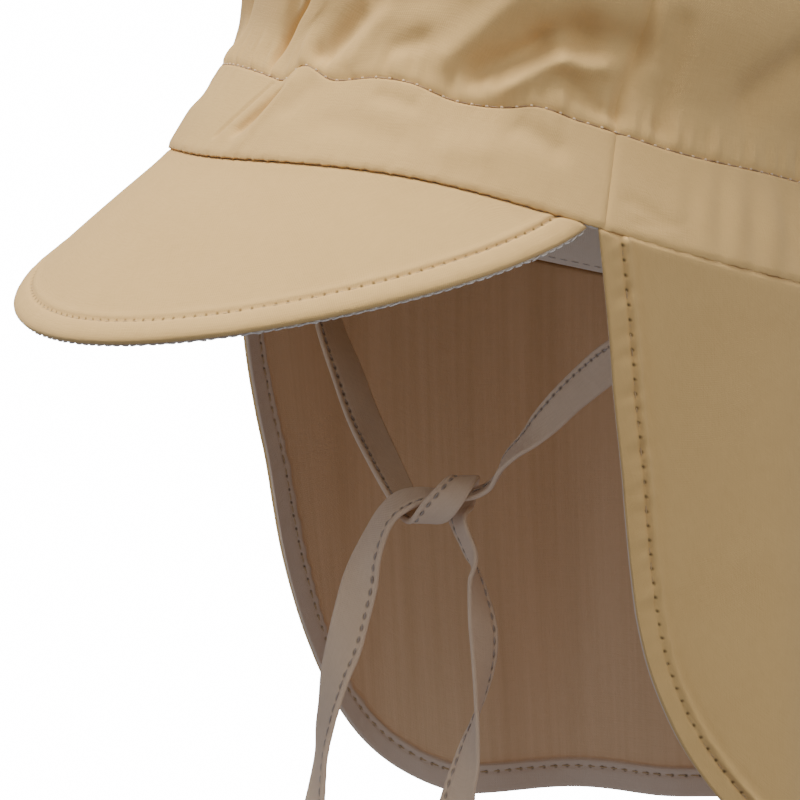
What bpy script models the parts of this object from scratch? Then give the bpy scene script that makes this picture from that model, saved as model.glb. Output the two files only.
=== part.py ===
"""Toddler's sun hat: six-panel crown, headband, stiff peak, long neck flap and two chin ties.

The hat is built as it is worn. X points to the wearer's left, -Y to the front and +Z up, in metres.
The origin is the centre of the head opening. Angles go round the head in degrees: 0 is the middle
of the forehead, 90 the wearer's left ear, 180 the nape and -90 the right ear.
"""

import math

import bpy
import numpy as np

# Head opening, an ellipse whose plane leans back on the head
HALF_LENGTH = 0.082
HALF_WIDTH = 0.070
LEAN_BACK = 15.0

# Headband and crown
BAND_HEIGHT = 0.0195
BAND_TAPER = 0.11
CROWN_HEIGHT = 0.0785
CROWN_WALK = 1.6
SEAM_DIP = 0.0011
SEAM_DIP_WIDTH = 0.0045
GATHER_DEPTH = 0.0010
GATHER_PITCH = 9.0
SIDE_SEAM = 67.5
REAR_SEAM = 122.0
SWELL = 0.016
SWELL_ANGLE = -38.0
SWELL_HALF_ANGLE = 26.0

# Cloth
CLOTH = 0.0012
LINING = 0.0010
GAP = 0.0003
SWEATBAND_HEIGHT = 0.0160

# Peak
PEAK_LENGTH = 0.0510
PEAK_HALF_ANGLE = 65.0
PEAK_SLOPE = 38.5
PEAK_ROOT_DROOP = 14.0
PEAK_TIP_DROOP = 6.0
PEAK_ROOT_LENGTH = 0.0025
PEAK_FULLNESS = 1.04

# Neck flap
FLAP_DROP = 0.134
FLAP_FRONT_ANGLE = 66.5
FLAP_CORNER_START = 0.028
FLAP_CORNER_WIDTH = 0.067
FLAP_CORNER_POWER = 1.65
FOLD_DEPTH = 0.0060
HEM_WIDTH = 0.0065
HEM_THICKNESS = 0.0020

# Chin ties
TIE_WIDTH = 0.0080
TIE_THICKNESS = 0.0010

MM = 0.001

# How far the rim rises and falls round the head, as a share of the band's height
RIM_WAVE = (
    # angle, rise
    (-180, -0.02),
    (-125, -0.03),
    (-80, -0.07),
    (-41, 0.065),
    (-3, -0.062),
    (41, 0.066),
    (78, -0.072),
    (125, -0.03),
    (180, -0.02),
)

# Height of the stitched seam between band and crown, as a share of the band's height
SEAM_WAVE = (
    # angle, height
    (-180, 0.97),
    (-120, 0.96),
    (-90, 0.98),
    (-67, 0.95),
    (-50, 1.02),
    (-33, 0.94),
    (-15, 0.99),
    (-5, 0.91),
    (0, 0.87),
    (7, 1.00),
    (16, 0.92),
    (25, 1.02),
    (31, 1.03),
    (40, 0.93),
    (49, 0.975),
    (53, 1.045),
    (61, 1.00),
    (67, 0.975),
    (76, 0.93),
    (100, 0.97),
    (180, 0.97),
)

# Section of the crown from the band's seam to the top: reach is a share of the rim's half sizes,
# rise a share of the crown's height, and way the share of the distance walked over the crown
CROWN_PROFILE = (
    # way, reach, rise
    (0.000, 0.890, 0.000),
    (0.078, 0.866, 0.121),
    (0.120, 0.872, 0.185),
    (0.234, 0.897, 0.363),
    (0.335, 0.878, 0.522),
    (0.460, 0.795, 0.700),
    (0.592, 0.640, 0.850),
    (0.728, 0.440, 0.940),
    (0.865, 0.220, 0.985),
    (1.000, 0.000, 1.000),
)

# How far the crown has turned on the band, in degrees, on the way to its top. It is the twist of the
# front seam, and fades out towards the back
TWIST_HALF_ANGLE = 66.0
CROWN_TWIST = (
    # way, twist
    (0.00, 0.0),
    (0.05, 1.6),
    (0.12, 4.2),
    (0.22, 4.6),
    (0.50, 1.5),
    (1.00, 0.0),
)

# Folds of the crown, each a soft groove along a line. Heights are walked up the cloth from the
# band's seam; heights, half widths and depths are shares of the crown's height, and a ridge has a
# negative depth
CROWN_FOLDS = (
    # angle, height, to_angle, to_height, half_width, depth
    (-2, 0.10, 2, 0.30, 0.026, 0.012),
    (-28, 0.14, -20, 0.34, 0.055, 0.026),
    (-41, 0.08, -34, 0.24, 0.045, -0.016),
    (-56, 0.16, -44, 0.26, 0.060, 0.034),
    (11, 0.04, 17, 0.17, 0.026, 0.012),
    (18, 0.05, 24, 0.24, 0.040, -0.008),
    (27, 0.09, 33, 0.15, 0.029, 0.012),
    (33, 0.15, 37, 0.26, 0.034, 0.012),
    (36.5, 0.10, 47, 0.30, 0.042, -0.017),
    (42.3, 0.085, 51.8, 0.18, 0.036, 0.021),
    (52, 0.19, 59, 0.215, 0.060, 0.034),
    (59, 0.215, 68, 0.23, 0.055, 0.028),
    (47, 0.03, 56, 0.13, 0.030, -0.016),
    (56, 0.13, 63, 0.155, 0.030, -0.016),
    (58, 0.095, 65, 0.035, 0.027, 0.014),
    (75, 0.05, 75, 0.32, 0.034, 0.011),
    (92, 0.18, 100, 0.30, 0.075, 0.028),
    (112, 0.06, 118, 0.30, 0.045, -0.014),
    (140, 0.16, 156, 0.30, 0.080, 0.028),
    (-92, 0.22, -104, 0.30, 0.080, 0.030),
    (-142, 0.16, -158, 0.26, 0.080, 0.028),
    (20, 0.62, 34, 0.80, 0.110, 0.024),
    (-52, 0.66, -70, 0.74, 0.120, 0.026),
    (98, 0.64, 114, 0.74, 0.120, 0.024),
    (-132, 0.62, -148, 0.72, 0.120, 0.024),
)

# Folds of the headband in the same form, as shares of the band's height
BAND_FOLDS = (
    # angle, height, to_angle, to_height, half_width, depth
    (4.9, 0.78, 0.7, 0.32, 0.10, 0.060),
    (7.5, 0.85, 3.8, 0.15, 0.11, -0.045),
    (12.3, 0.82, 10.7, 0.56, 0.12, 0.030),
    (20, 0.46, 33, 0.34, 0.17, 0.028),
    (27, 0.80, 33, 0.76, 0.10, 0.034),
    (42, 0.40, 47, 0.45, 0.20, -0.030),
    (51.8, 0.76, 58, 0.64, 0.14, 0.048),
    (-27, 0.72, -33, 0.60, 0.16, 0.045),
    (-52, 0.66, -57, 0.50, 0.16, 0.045),
)

# Hanging folds of the neck flap: depth is a share of FOLD_DEPTH, inwards, and reaches its full
# size at the hem
FLAP_FOLDS = (
    # angle, half_angle, depth
    (82, 6, 0.30),
    (98, 7, -0.45),
    (114, 8, 0.55),
    (131, 8, -0.75),
    (147, 8, 0.80),
    (163, 8, -0.70),
    (179, 8, 0.75),
    (-165, 8, -0.70),
    (-149, 8, 0.80),
    (-132, 8, -0.65),
    (-115, 8, 0.50),
    (-99, 7, -0.45),
    (-83, 6, 0.30),
)

# How far the cut of each front edge strays back from its plain outline, as a share of the corner's
# width, at shares of the flap's drop
FLAP_EDGE_LEAN = (
    # drop, left, right
    (0.00, 0.000, 0.000),
    (0.08, 0.020, 0.015),
    (0.26, 0.052, 0.045),
    (0.36, 0.048, 0.072),
    (0.44, 0.026, 0.090),
    (0.51, 0.000, 0.080),
    (0.58, -0.030, 0.061),
    (0.65, -0.052, 0.040),
    (0.72, -0.055, 0.018),
    (0.82, -0.040, 0.000),
    (0.92, -0.015, 0.000),
    (1.00, 0.000, 0.000),
)

# Route of each tie in millimetres, from the sweatband through the half-knot to its free end.
# turn and lift give the way that the flat side looks, turn as an angle round the head, and width is
# a share of the tie's width, less where the knot crumples it
TIE_RIGHT_ROUTE = (
    # x, y, z, turn, lift, width
    (-67.2, -9.4, -0.4, 96, 0, 1.0),
    (-65.8, -10.9, -8.0, 100, 10, 1.0),
    (-59.1, -11.7, -18.8, 105, 28, 1.0),
    (-54.6, -12.9, -25.0, 100, 40, 1.0),
    (-45.9, -15.4, -32.3, 83, 50, 1.0),
    (-35.4, -18.3, -41.4, 74, 55, 1.0),
    (-22.0, -22.2, -49.6, 84, 58, 1.0),
    (-14.2, -23.8, -55.2, 90, 57, 0.95),
    (-10.7, -24.6, -58.0, 90, 62, 0.85),
    (-7.0, -25.3, -60.6, 60, 78, 0.8),
    (-2.4, -26.4, -61.2, -126, 75, 0.85),
    (1.9, -26.5, -58.6, -126, 25, 1.0),
    (5.2, -25.3, -54.0, -126, -15, 1.0),
    (5.5, -22.7, -49.8, -126, -55, 0.9),
    (3.2, -19.4, -48.9, 54, -85, 0.8),
    (0.0, -17.4, -52.4, 54, -25, 0.8),
    (-0.6, -17.9, -56.9, 30, 5, 0.8),
    (1.4, -19.4, -61.0, -10, -10, 0.9),
    (4.6, -18.5, -67.2, -21, -12, 1.0),
    (5.3, -18.4, -71.5, -52, -11, 1.0),
    (6.0, -18.1, -75.5, -66, -12, 1.0),
    (7.2, -17.9, -81.0, -81, -9, 1.0),
    (8.0, -18.0, -86.7, -79, -4, 1.0),
    (8.4, -18.9, -93.4, -61, 2, 1.0),
    (8.4, -19.9, -98.4, -44, 8, 1.0),
    (8.4, -20.6, -101.5, -32, 12, 1.0),
    (8.3, -21.8, -106.2, -12, 14, 1.0),
    (8.2, -22.9, -110.9, 7, 14, 1.0),
    (8.0, -24.2, -115.3, 19, 14, 1.0),
    (7.9, -25.2, -119.5, 36, 12, 1.0),
    (7.4, -26.9, -124.2, 47, 10, 1.0),
    (7.1, -28.0, -127.1, 47, 10, 1.0),
)
TIE_LEFT_ROUTE = (
    # x, y, z, turn, lift, width
    (67.2, -9.4, -0.4, 84, 0, 1.0),
    (66.0, -11.2, -7.0, 75, -4, 1.0),
    (61.0, -12.6, -13.5, 50, -14, 1.0),
    (53.5, -14.0, -18.5, 22, -22, 1.0),
    (45.4, -13.9, -22.5, 6, -22, 1.0),
    (40.3, -13.6, -25.3, 5, -12, 1.0),
    (35.9, -13.3, -27.9, 3, -6, 1.0),
    (31.3, -13.6, -31.1, 5, 4, 1.0),
    (26.8, -14.4, -34.9, 3, 10, 1.0),
    (22.4, -15.3, -38.6, -6, 21, 1.0),
    (17.8, -16.3, -42.5, -24, 36, 1.0),
    (13.4, -17.1, -46.4, -32, 36, 1.0),
    (9.9, -17.2, -51.1, -35, 42, 0.8),
    (6.1, -18.9, -53.6, -20, 62, 0.66),
    (2.4, -21.4, -54.2, 10, 76, 0.68),
    (-1.4, -23.4, -54.5, 30, 76, 0.72),
    (-4.2, -26.0, -54.9, 20, 62, 0.85),
    (-6.6, -29.0, -56.2, 6, 46, 1.0),
    (-7.8, -31.7, -58.7, -2, 38, 1.0),
    (-8.4, -33.9, -62.2, -2, 28, 1.0),
    (-8.7, -36.6, -67.9, 14, 21, 1.0),
    (-8.5, -38.6, -73.9, 45, 14, 1.0),
    (-8.5, -40.7, -80.4, 55, 10, 1.0),
    (-8.6, -42.4, -86.2, 38, 12, 1.0),
    (-9.0, -44.2, -91.6, 15, 15, 1.0),
    (-9.2, -45.7, -97.7, -4, 14, 1.0),
    (-9.2, -46.9, -102.7, -12, 12, 1.0),
    (-9.1, -47.9, -108.5, -21, 8, 1.0),
    (-8.9, -49.4, -116.5, -12, 11, 1.0),
    (-8.8, -50.6, -122.7, 1, 10, 1.0),
    (-8.6, -51.1, -126.1, 12, 9, 1.0),
)

# How finely the cloth is divided. The flap's half outline is walked by a share from 0 to 1, of which
# the straight front edge takes the first part and the rounded corner goes on to the second value
PANEL_COLUMNS = 8
PANEL_ROWS = 13
BAND_FRONT_COLUMNS = 44
BAND_BACK_COLUMNS = 76
BAND_ROWS = 5
SWEATBAND_COLUMNS = 80
PEAK_COLUMNS = 24
PEAK_ROWS = 6
FLAP_COLUMNS = 46
FLAP_COLUMN_CROWDING = 1.15
FLAP_EDGE_SHARE = 0.12
FLAP_CORNER_SHARE = 0.66
FLAP_COLUMN_START = 0.30
FLAP_ROWS = 10
TIE_STEPS = 2

CLOTH_COLOUR = (0.49, 0.37, 0.245, 1.0)
LINING_COLOUR = (0.70, 0.66, 0.61, 1.0)
TAPE_COLOUR = (0.47, 0.39, 0.30, 1.0)


def column(rows, index):
    """One column of a table as an array."""
    return np.array([row[index] for row in rows], float)


def smooth(rows, at, index):
    """Smooth curve through a table: cubic pieces whose slopes come from the neighbouring rows."""
    x = column(rows, 0)
    y = column(rows, index)
    slope = np.gradient(y, x)
    at = np.clip(at, x[0], x[-1])
    left = np.clip(np.searchsorted(x, at, side="right") - 1, 0, len(x) - 2)
    span = x[left + 1] - x[left]
    s = (at - x[left]) / span
    start = (1 + 2 * s) * (1 - s) ** 2 * y[left] + s * (1 - s) ** 2 * span * slope[left]
    end = s * s * (3 - 2 * s) * y[left + 1] + s * s * (s - 1) * span * slope[left + 1]
    return start + end


def wrapped(angle):
    """An angle round the head between -180 and 180."""
    return (np.asarray(angle, float) + 180.0) % 360.0 - 180.0


def leant(x, y, z):
    """Hat coordinates turned back about X into the worn position."""
    lean = math.radians(LEAN_BACK)
    return np.stack(
        [x, y * math.cos(lean) + z * math.sin(lean), z * math.cos(lean) - y * math.sin(lean)], -1
    )


def ring(angle, reach, rise):
    """Point on an ellipse like the rim, scaled by reach and raised by rise."""
    turn = np.radians(angle)
    x = HALF_WIDTH * reach * np.sin(turn)
    y = -HALF_LENGTH * reach * np.cos(turn)
    return leant(x, y, rise + 0 * turn)


def outwards(angle):
    """Horizontal direction that leaves the rim squarely at an angle."""
    turn = np.radians(angle)
    x = np.sin(turn) / HALF_WIDTH
    y = -np.cos(turn) / HALF_LENGTH
    size = np.hypot(x, y)
    return x / size, y / size


def grooves(rows, angle, height):
    """Sum of soft grooves, each a bell across its line from one point to another.

    Heights are shares of a size; an angle becomes the same share along a circle like the rim.
    """
    total = np.zeros(np.broadcast(angle, height).shape)
    for start, low, end, high, half_width, depth in rows:
        pace = math.radians(1) * math.sqrt(HALF_LENGTH * HALF_WIDTH)
        pace = pace / (CROWN_HEIGHT if rows is CROWN_FOLDS else BAND_HEIGHT)
        run, climb = (end - start) * pace, high - low
        u, v = wrapped(angle - start) * pace, height - low
        along = np.clip((u * run + v * climb) / (run * run + climb * climb), 0, 1)
        away = (u - along * run) ** 2 + (v - along * climb) ** 2
        total = total + depth * np.exp(-away / half_width**2)
    return total


def gathers(angle):
    """Outward puckers of the elastic at the back, growing from nothing behind the side seams."""
    behind = np.clip((np.abs(wrapped(angle)) - SIDE_SEAM - 3.0) / 25.0, 0.0, 1.0)
    return behind * (0.5 + 0.5 * np.cos(np.radians(wrapped(angle)) * 360.0 / GATHER_PITCH))


def rim_rise(angle):
    """Height of the band's lower edge."""
    return BAND_HEIGHT * smooth(RIM_WAVE, wrapped(angle), 1)


def root_rise(angle):
    """Height where peak and flap start: a gap below the band's slanting lower edge."""
    lean = math.atan2(BAND_TAPER * HALF_LENGTH, BAND_HEIGHT)
    return rim_rise(angle) - GAP - CLOTH * math.sin(lean)


def panel_spread():
    """Where the columns of a crown panel lie between its two seams, closer near the seams."""
    spread = 0.5 - 0.5 * np.cos(np.linspace(0.12, 1 - 0.12, PANEL_COLUMNS + 1) * np.pi)
    return (spread - spread[0]) / (spread[-1] - spread[0])


def seam_rise(angle):
    """Height of the seam between band and crown, straight between the crown's columns."""
    ends = np.array([-180.0] + sorted(seams()))
    columns = (ends[:-1, None] + np.diff(ends)[:, None] * panel_spread()).ravel()
    return BAND_HEIGHT * np.interp(wrapped(angle), columns, smooth(SEAM_WAVE, columns, 1))


def swell(angle):
    """Share by which the seam between band and crown stands out over the right brow."""
    return SWELL * np.exp(-((wrapped(angle - SWELL_ANGLE) / SWELL_HALF_ANGLE) ** 2))


def band_cone(angle, up):
    """Headband without its folds: from the rim in to the crown seam, nearly straight."""
    rise = rim_rise(angle) * (1 - up) + seam_rise(angle) * up
    return ring(angle, 1 - BAND_TAPER * up + swell(angle) * np.clip(up / 0.45, 0, 1), rise)


def slack(up):
    """How free the band is to fold: nothing at its two seams, most halfway up."""
    return np.sqrt(np.sin(np.pi * np.clip(up, 0, 1)))


def band_surface(angle, up, gathered=0.0):
    """Headband with its folds pushed in and its gathers puffed out."""
    place = band_cone(angle, up)
    push = BAND_HEIGHT * grooves(BAND_FOLDS, angle, up) * slack(up)
    push = push - gathered * GATHER_DEPTH * gathers(angle) * np.exp(-(((up - 0.35) / 0.3) ** 2))
    x, y = outwards(angle)
    return place - leant(x * push, y * push, 0 * push)


def crown_surface(angle, way):
    """Crown: the profile carried round the rim's ellipse, dipped at the seams and folded."""
    turned = angle + smooth(CROWN_TWIST, way, 1) * np.exp(-((wrapped(angle) / TWIST_HALF_ANGLE) ** 2))
    reach = smooth(CROWN_PROFILE, way, 1) + swell(angle) * np.clip(1 - way / 0.12, 0, 1)
    rise = CROWN_HEIGHT * smooth(CROWN_PROFILE, way, 2)
    foot = seam_rise(angle)
    place = ring(turned, reach, foot + rise * (BAND_HEIGHT + CROWN_HEIGHT - foot) / CROWN_HEIGHT)
    radius = reach * math.sqrt(HALF_LENGTH * HALF_WIDTH)
    dip = np.zeros(np.broadcast(angle, way).shape)
    for seam in seams():
        away = np.radians(wrapped(angle - seam)) * radius
        dip = dip + SEAM_DIP * np.exp(-((away / SEAM_DIP_WIDTH) ** 2))
    fade = np.clip(way / 0.05, 0, 1) * np.clip((1 - way) / 0.2, 0, 1)
    folded = CROWN_HEIGHT * grooves(CROWN_FOLDS, turned, way * CROWN_WALK)
    push = dip * fade + folded * np.clip(way / 0.03, 0, 1)
    step = 0.01
    run = (smooth(CROWN_PROFILE, way + step, 1) - smooth(CROWN_PROFILE, way - step, 1)) * radius
    climb = (smooth(CROWN_PROFILE, way + step, 2) - smooth(CROWN_PROFILE, way - step, 2)) * CROWN_HEIGHT
    run = run / np.maximum(reach, 0.05)
    size = np.hypot(run, climb)
    x, y = outwards(turned)
    level = climb / size * push
    return place - leant(x * level, y * level, -run / size * push)


def seams():
    """Angles of the six crown seams."""
    return (0.0, SIDE_SEAM, REAR_SEAM, 180.0, -REAR_SEAM, -SIDE_SEAM)


def peak_surface(angle, along):
    """Peak: leaves the rim steeply, flattens, then droops a little more to its edge."""
    share = 1 - (np.asarray(angle) / PEAK_HALF_ANGLE) ** 2
    length = PEAK_LENGTH * np.clip(share, 0, 1) ** PEAK_FULLNESS
    reached = along * length
    walked = reached[..., None] * (np.arange(32) + 0.5) / 32
    droop = PEAK_SLOPE + PEAK_ROOT_DROOP * np.exp(-walked / PEAK_ROOT_LENGTH)
    droop = np.radians(droop + PEAK_TIP_DROOP * walked / PEAK_LENGTH)
    out = reached * np.cos(droop).mean(-1)
    down = reached * np.sin(droop).mean(-1)
    x, y = outwards(angle)
    root = ring(angle, 1 - 0.5 * CLOTH / HALF_WIDTH, root_rise(angle))
    return root + np.stack([x * out, y * out, -down], -1)


def rim_length(angle):
    """Distance walked along the rim from the nape to an angle, positive to the left."""
    fine = np.linspace(-180, 180, 1441)
    turn = np.radians(fine)
    pace = np.hypot(HALF_WIDTH * np.cos(turn), HALF_LENGTH * np.sin(turn)) * np.radians(0.25)
    walked = np.concatenate([[0], np.cumsum((pace[1:] + pace[:-1]) / 2)])
    return np.interp(angle, fine, walked)


def rim_angle(length):
    """Angle at a distance along the rim, the inverse of rim_length."""
    fine = np.linspace(-180, 180, 1441)
    return np.interp(length, rim_length(fine), fine)


def flap_surface(angle, drop):
    """Neck flap: falls straight from the rim and swings in and out in folds that grow downwards."""
    root = ring(angle, 1.0, root_rise(angle))
    fall = np.clip(drop / FLAP_DROP, 0, 1)
    fold = np.zeros(np.broadcast(angle, drop).shape)
    for middle, half_angle, depth in FLAP_FOLDS:
        fold = fold + depth * np.exp(-((wrapped(angle - middle) / half_angle) ** 2))
    fold = fold * FOLD_DEPTH * fall**0.8
    x, y = outwards(angle)
    return root + np.stack([-x * fold, -y * fold, -drop], -1)


def flap_outline(share, side):
    """Front edge, rounded corner and half of the bottom of the flap, for share from 0 to 1.

    The corner is a quarter of a superellipse. Returns the distance moved back along the rim from
    the front edge's top, and the drop.
    """
    middle = rim_length(180.0) - rim_length(FLAP_FRONT_ANGLE)
    edge = np.clip(share / FLAP_EDGE_SHARE, 0, 1)
    corner = np.clip((share - FLAP_EDGE_SHARE) / (FLAP_CORNER_SHARE - FLAP_EDGE_SHARE), 0, 1)
    rest = np.clip((share - FLAP_CORNER_SHARE) / (1 - FLAP_CORNER_SHARE), 0, 1)
    level = np.cos(corner * np.pi / 2) ** (2 / FLAP_CORNER_POWER)
    fallen = np.sin(corner * np.pi / 2) ** (2 / FLAP_CORNER_POWER)
    back = FLAP_CORNER_WIDTH * (1 - level) + (middle - FLAP_CORNER_WIDTH) * rest
    angle = rim_angle(rim_length(FLAP_FRONT_ANGLE) + back)
    bottom = FLAP_DROP + ring(angle, 1.0, root_rise(angle))[..., 2]
    drop = FLAP_CORNER_START * edge + (bottom - FLAP_CORNER_START) * fallen
    stray = smooth(FLAP_EDGE_LEAN, np.clip(drop / FLAP_DROP, 0, 1), 1 if side > 0 else 2)
    return back + FLAP_CORNER_WIDTH * stray * (1 - rest), drop


def flap_place(back, drop, side):
    """Point of the flap at a distance back from one front edge's line and a drop."""
    angle = rim_angle(rim_length(FLAP_FRONT_ANGLE) + back)
    return flap_surface(angle * side, drop)


def material(name, colour, roughness):
    """Plain cloth material."""
    made = bpy.data.materials.new(name)
    made.use_nodes = True
    shader = made.node_tree.nodes["Principled BSDF"]
    shader.inputs["Base Color"].default_value = colour
    shader.inputs["Roughness"].default_value = roughness
    shader.inputs["Metallic"].default_value = 0.0
    return made


def sheet(name, places, thickness, finish, group, closed=False):
    """Cloth piece: a grid of points [across, up] given its thickness on the inner side."""
    across, up = places.shape[:2]
    index = np.arange(across * up).reshape(across, up)
    if closed:
        index = np.vstack([index, index[:1]])
    faces = np.stack([index[:-1, :-1], index[1:, :-1], index[1:, 1:], index[:-1, 1:]], -1)
    mesh = bpy.data.meshes.new(name)
    mesh.from_pydata(places.reshape(-1, 3).tolist(), [], faces.reshape(-1, 4).tolist())
    mesh.validate()
    mesh.shade_smooth()
    mesh.materials.append(finish)
    piece = bpy.data.objects.new(name, mesh)
    group.objects.link(piece)
    wall = piece.modifiers.new("wall", "SOLIDIFY")
    wall.thickness = thickness
    wall.offset = -1.0
    wall.use_even_offset = True
    return piece


def normals(surface, u, v):
    """Unit normals of a surface of two parameters, from small steps in each."""
    du = 0.2
    dv = 0.004
    across = surface(u + du, v) - surface(u - du, v)
    up = surface(u, v + dv) - surface(u, v - dv)
    normal = np.cross(across, up)
    return normal / np.linalg.norm(normal, axis=-1, keepdims=True)


def seam_margin(reach):
    """Half of the gap at a panel's side, as an angle at a reach."""
    return np.degrees(0.5 * GAP / (reach * HALF_WIDTH * 0.98))


def crown_panels(finish, group):
    """Six gores between neighbouring seams, from the band's seam to the top."""
    names = ("front_left", "side_left", "back_left", "back_right", "side_right", "front_right")
    corners = seams() + (360.0,)
    spread = panel_spread()
    ways = np.concatenate([[GAP / (CROWN_HEIGHT + HALF_LENGTH)], np.linspace(0.03, 0.993, PANEL_ROWS)])
    for name, start, end in zip(names, corners[:-1], corners[1:]):
        end = start + (end - start) % 360.0
        way = ways[None, :]
        margin = seam_margin(smooth(CROWN_PROFILE, way, 1))
        angle = start + margin + (end - start - 2 * margin) * spread[:, None]
        sheet("crown_panel_" + name, crown_surface(angle, way + 0 * angle), CLOTH, finish, group)


def bands(finish, group):
    """Smooth band over the forehead and gathered band round the back, meeting at the side seams."""
    up = np.linspace(0, 1 - GAP / BAND_HEIGHT, BAND_ROWS)[None, :]
    margin = seam_margin(1 - BAND_TAPER)
    turn = np.linspace(-SIDE_SEAM + margin, SIDE_SEAM - margin, BAND_FRONT_COLUMNS)[:, None]
    sheet("band_front", band_surface(turn, up + 0 * turn), CLOTH, finish, group)
    turn = np.linspace(SIDE_SEAM + margin, 360 - SIDE_SEAM - margin, BAND_BACK_COLUMNS)[:, None]
    sheet("band_back", band_surface(turn, up + 0 * turn, 1.0), CLOTH, finish, group)


def sweatband(finish, group):
    """Pale band inside the headband, close at its lower edge and clear of the deepest fold."""
    turn = np.linspace(-180, 180, SWEATBAND_COLUMNS, endpoint=False)[:, None]
    up = np.linspace(GAP / BAND_HEIGHT, SWEATBAND_HEIGHT / BAND_HEIGHT, 4)[None, :] + 0 * turn
    deepest = BAND_HEIGHT * column(BAND_FOLDS, 5).max()
    inset = CLOTH + GAP + deepest * slack(up)
    inner = band_cone(turn, up) - normals(band_cone, turn, up) * inset[..., None]
    sheet("sweatband", inner, LINING, finish, group, closed=True)


def peaks(finish, group):
    """Two layers of the peak, the lower one a gap below the upper one."""
    reach = PEAK_HALF_ANGLE - 1.0
    turn = reach * np.sin(np.linspace(-1, 1, PEAK_COLUMNS + 1) * np.pi / 2)[:, None]
    along = np.linspace(1, 0, PEAK_ROWS + 1)[None, :] + 0 * turn
    turn = turn + 0 * along
    top = peak_surface(turn, along)
    sheet("peak_top", top, CLOTH, finish, group)
    length = PEAK_LENGTH * (1 - (turn / PEAK_HALF_ANGLE) ** 2) ** PEAK_FULLNESS
    x, y = outwards(turn)
    ahead = np.where(length > 0.004, length, 0.004)
    slope = np.radians(PEAK_SLOPE + PEAK_TIP_DROOP * along * length / PEAK_LENGTH)
    slope = slope + np.radians(PEAK_ROOT_DROOP) * np.exp(-along * ahead / PEAK_ROOT_LENGTH)
    below = np.stack([-x * np.sin(slope), -y * np.sin(slope), -np.cos(slope)], -1)
    sheet("peak_underside", top + below * (CLOTH + GAP), LINING, finish, group)


def neck_flap(finish, group):
    """Cloth between the two front edges, twice as thick along its turned hem.

    Each column of the grid runs from the rim down to a point of the outline. The first one follows
    the front edge, and the next ones grow straighter.
    """
    half = np.linspace(0, 1, FLAP_COLUMNS // 2 + 1)
    middle = rim_length(180.0) - rim_length(FLAP_FRONT_ANGLE)
    down = np.concatenate([[1], np.linspace(1 - HEM_WIDTH / FLAP_DROP, 0, FLAP_ROWS)])[None, :]
    straight = np.clip(half / 0.5, 0, 1)[:, None]
    places, hemmed = [], []
    for side in (1, -1):
        back, drop = flap_outline(FLAP_COLUMN_START + (1 - FLAP_COLUMN_START) * half, side)
        top = middle * half**FLAP_COLUMN_CROWDING
        edge = np.stack(flap_outline(np.linspace(0, 1, 400), side), -1)
        fallen = drop[:, None] * down
        followed = np.interp(fallen, edge[:, 1], edge[:, 0]) / np.interp(drop, edge[:, 1], edge[:, 0])[:, None]
        across = top[:, None] + (back - top)[:, None] * (followed * (1 - straight) + down * straight)
        places.append(flap_place(across, fallen, side))
        away = np.stack([across, fallen], -1)[:, :, None] - edge
        hemmed.append(np.linalg.norm(away, axis=-1).min(-1) < HEM_WIDTH * 1.05)
    grid = np.concatenate([places[0], places[1][::-1][1:]], axis=0)
    hem = np.concatenate([hemmed[0], hemmed[1][::-1][1:]], axis=0)
    flap = sheet("neck_flap", grid, HEM_THICKNESS, finish, group)
    thick = flap.vertex_groups.new(name="hem")
    thick.add(np.flatnonzero(hem.ravel()).tolist(), 1.0, "REPLACE")
    wall = flap.modifiers["wall"]
    wall.vertex_group = thick.name
    wall.thickness_vertex_group = CLOTH / HEM_THICKNESS


def through(points, steps):
    """Smooth route through chosen points, each with a few steps to the next (Catmull-Rom)."""
    padded = np.concatenate([[2 * points[0] - points[1]], points, [2 * points[-1] - points[-2]]])
    s = np.linspace(0, 1, steps, endpoint=False)[None, :, None]
    a, b, c, d = (padded[i : len(padded) - 3 + i][:, None, :] for i in range(4))
    curve = b + 0.5 * s * (c - a + s * (2 * a - 5 * b + 4 * c - d + s * (3 * (b - c) + d - a)))
    return np.concatenate([curve.reshape(-1, points.shape[1]), points[-1:]])


def tie(name, route, finish, group):
    """Flat tape along its route, with its width square to the route and to its flat side."""
    rows = np.array(route, float)
    turn, lift = np.radians(rows[:, 3]), np.radians(rows[:, 4])
    facing = np.stack([np.sin(turn) * np.cos(lift), -np.cos(turn) * np.cos(lift), np.sin(lift)], -1)
    walked = through(np.hstack([rows[:, :3] * MM, facing, rows[:, 5:]]), TIE_STEPS)
    path, facing, width = walked[:, :3], walked[:, 3:6], walked[:, 6:] * TIE_WIDTH
    ahead = np.gradient(path, axis=0)
    ahead = ahead / np.linalg.norm(ahead, axis=-1, keepdims=True)
    across = np.cross(ahead, facing)
    across = across / np.linalg.norm(across, axis=-1, keepdims=True)
    facing = np.cross(across, ahead)
    outer = path + facing * TIE_THICKNESS / 2
    edges = [outer + across * width / 2, outer - across * width / 2]
    sheet(name, np.stack(edges, 1), TIE_THICKNESS, finish, group)


def main():
    for old in list(bpy.data.objects):
        bpy.data.objects.remove(old, do_unlink=True)
    hat = bpy.data.collections.new("sun_hat")
    bpy.context.scene.collection.children.link(hat)
    cloth = material("sand_cotton", CLOTH_COLOUR, 0.85)
    pale = material("pale_cotton", LINING_COLOUR, 0.9)
    tape = material("tape_cotton", TAPE_COLOUR, 0.85)
    crown_panels(cloth, hat)
    bands(cloth, hat)
    sweatband(pale, hat)
    peaks(cloth, hat)
    neck_flap(cloth, hat)
    tie("tie_left", TIE_LEFT_ROUTE, tape, hat)
    tie("tie_right", TIE_RIGHT_ROUTE, tape, hat)


main()
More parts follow.
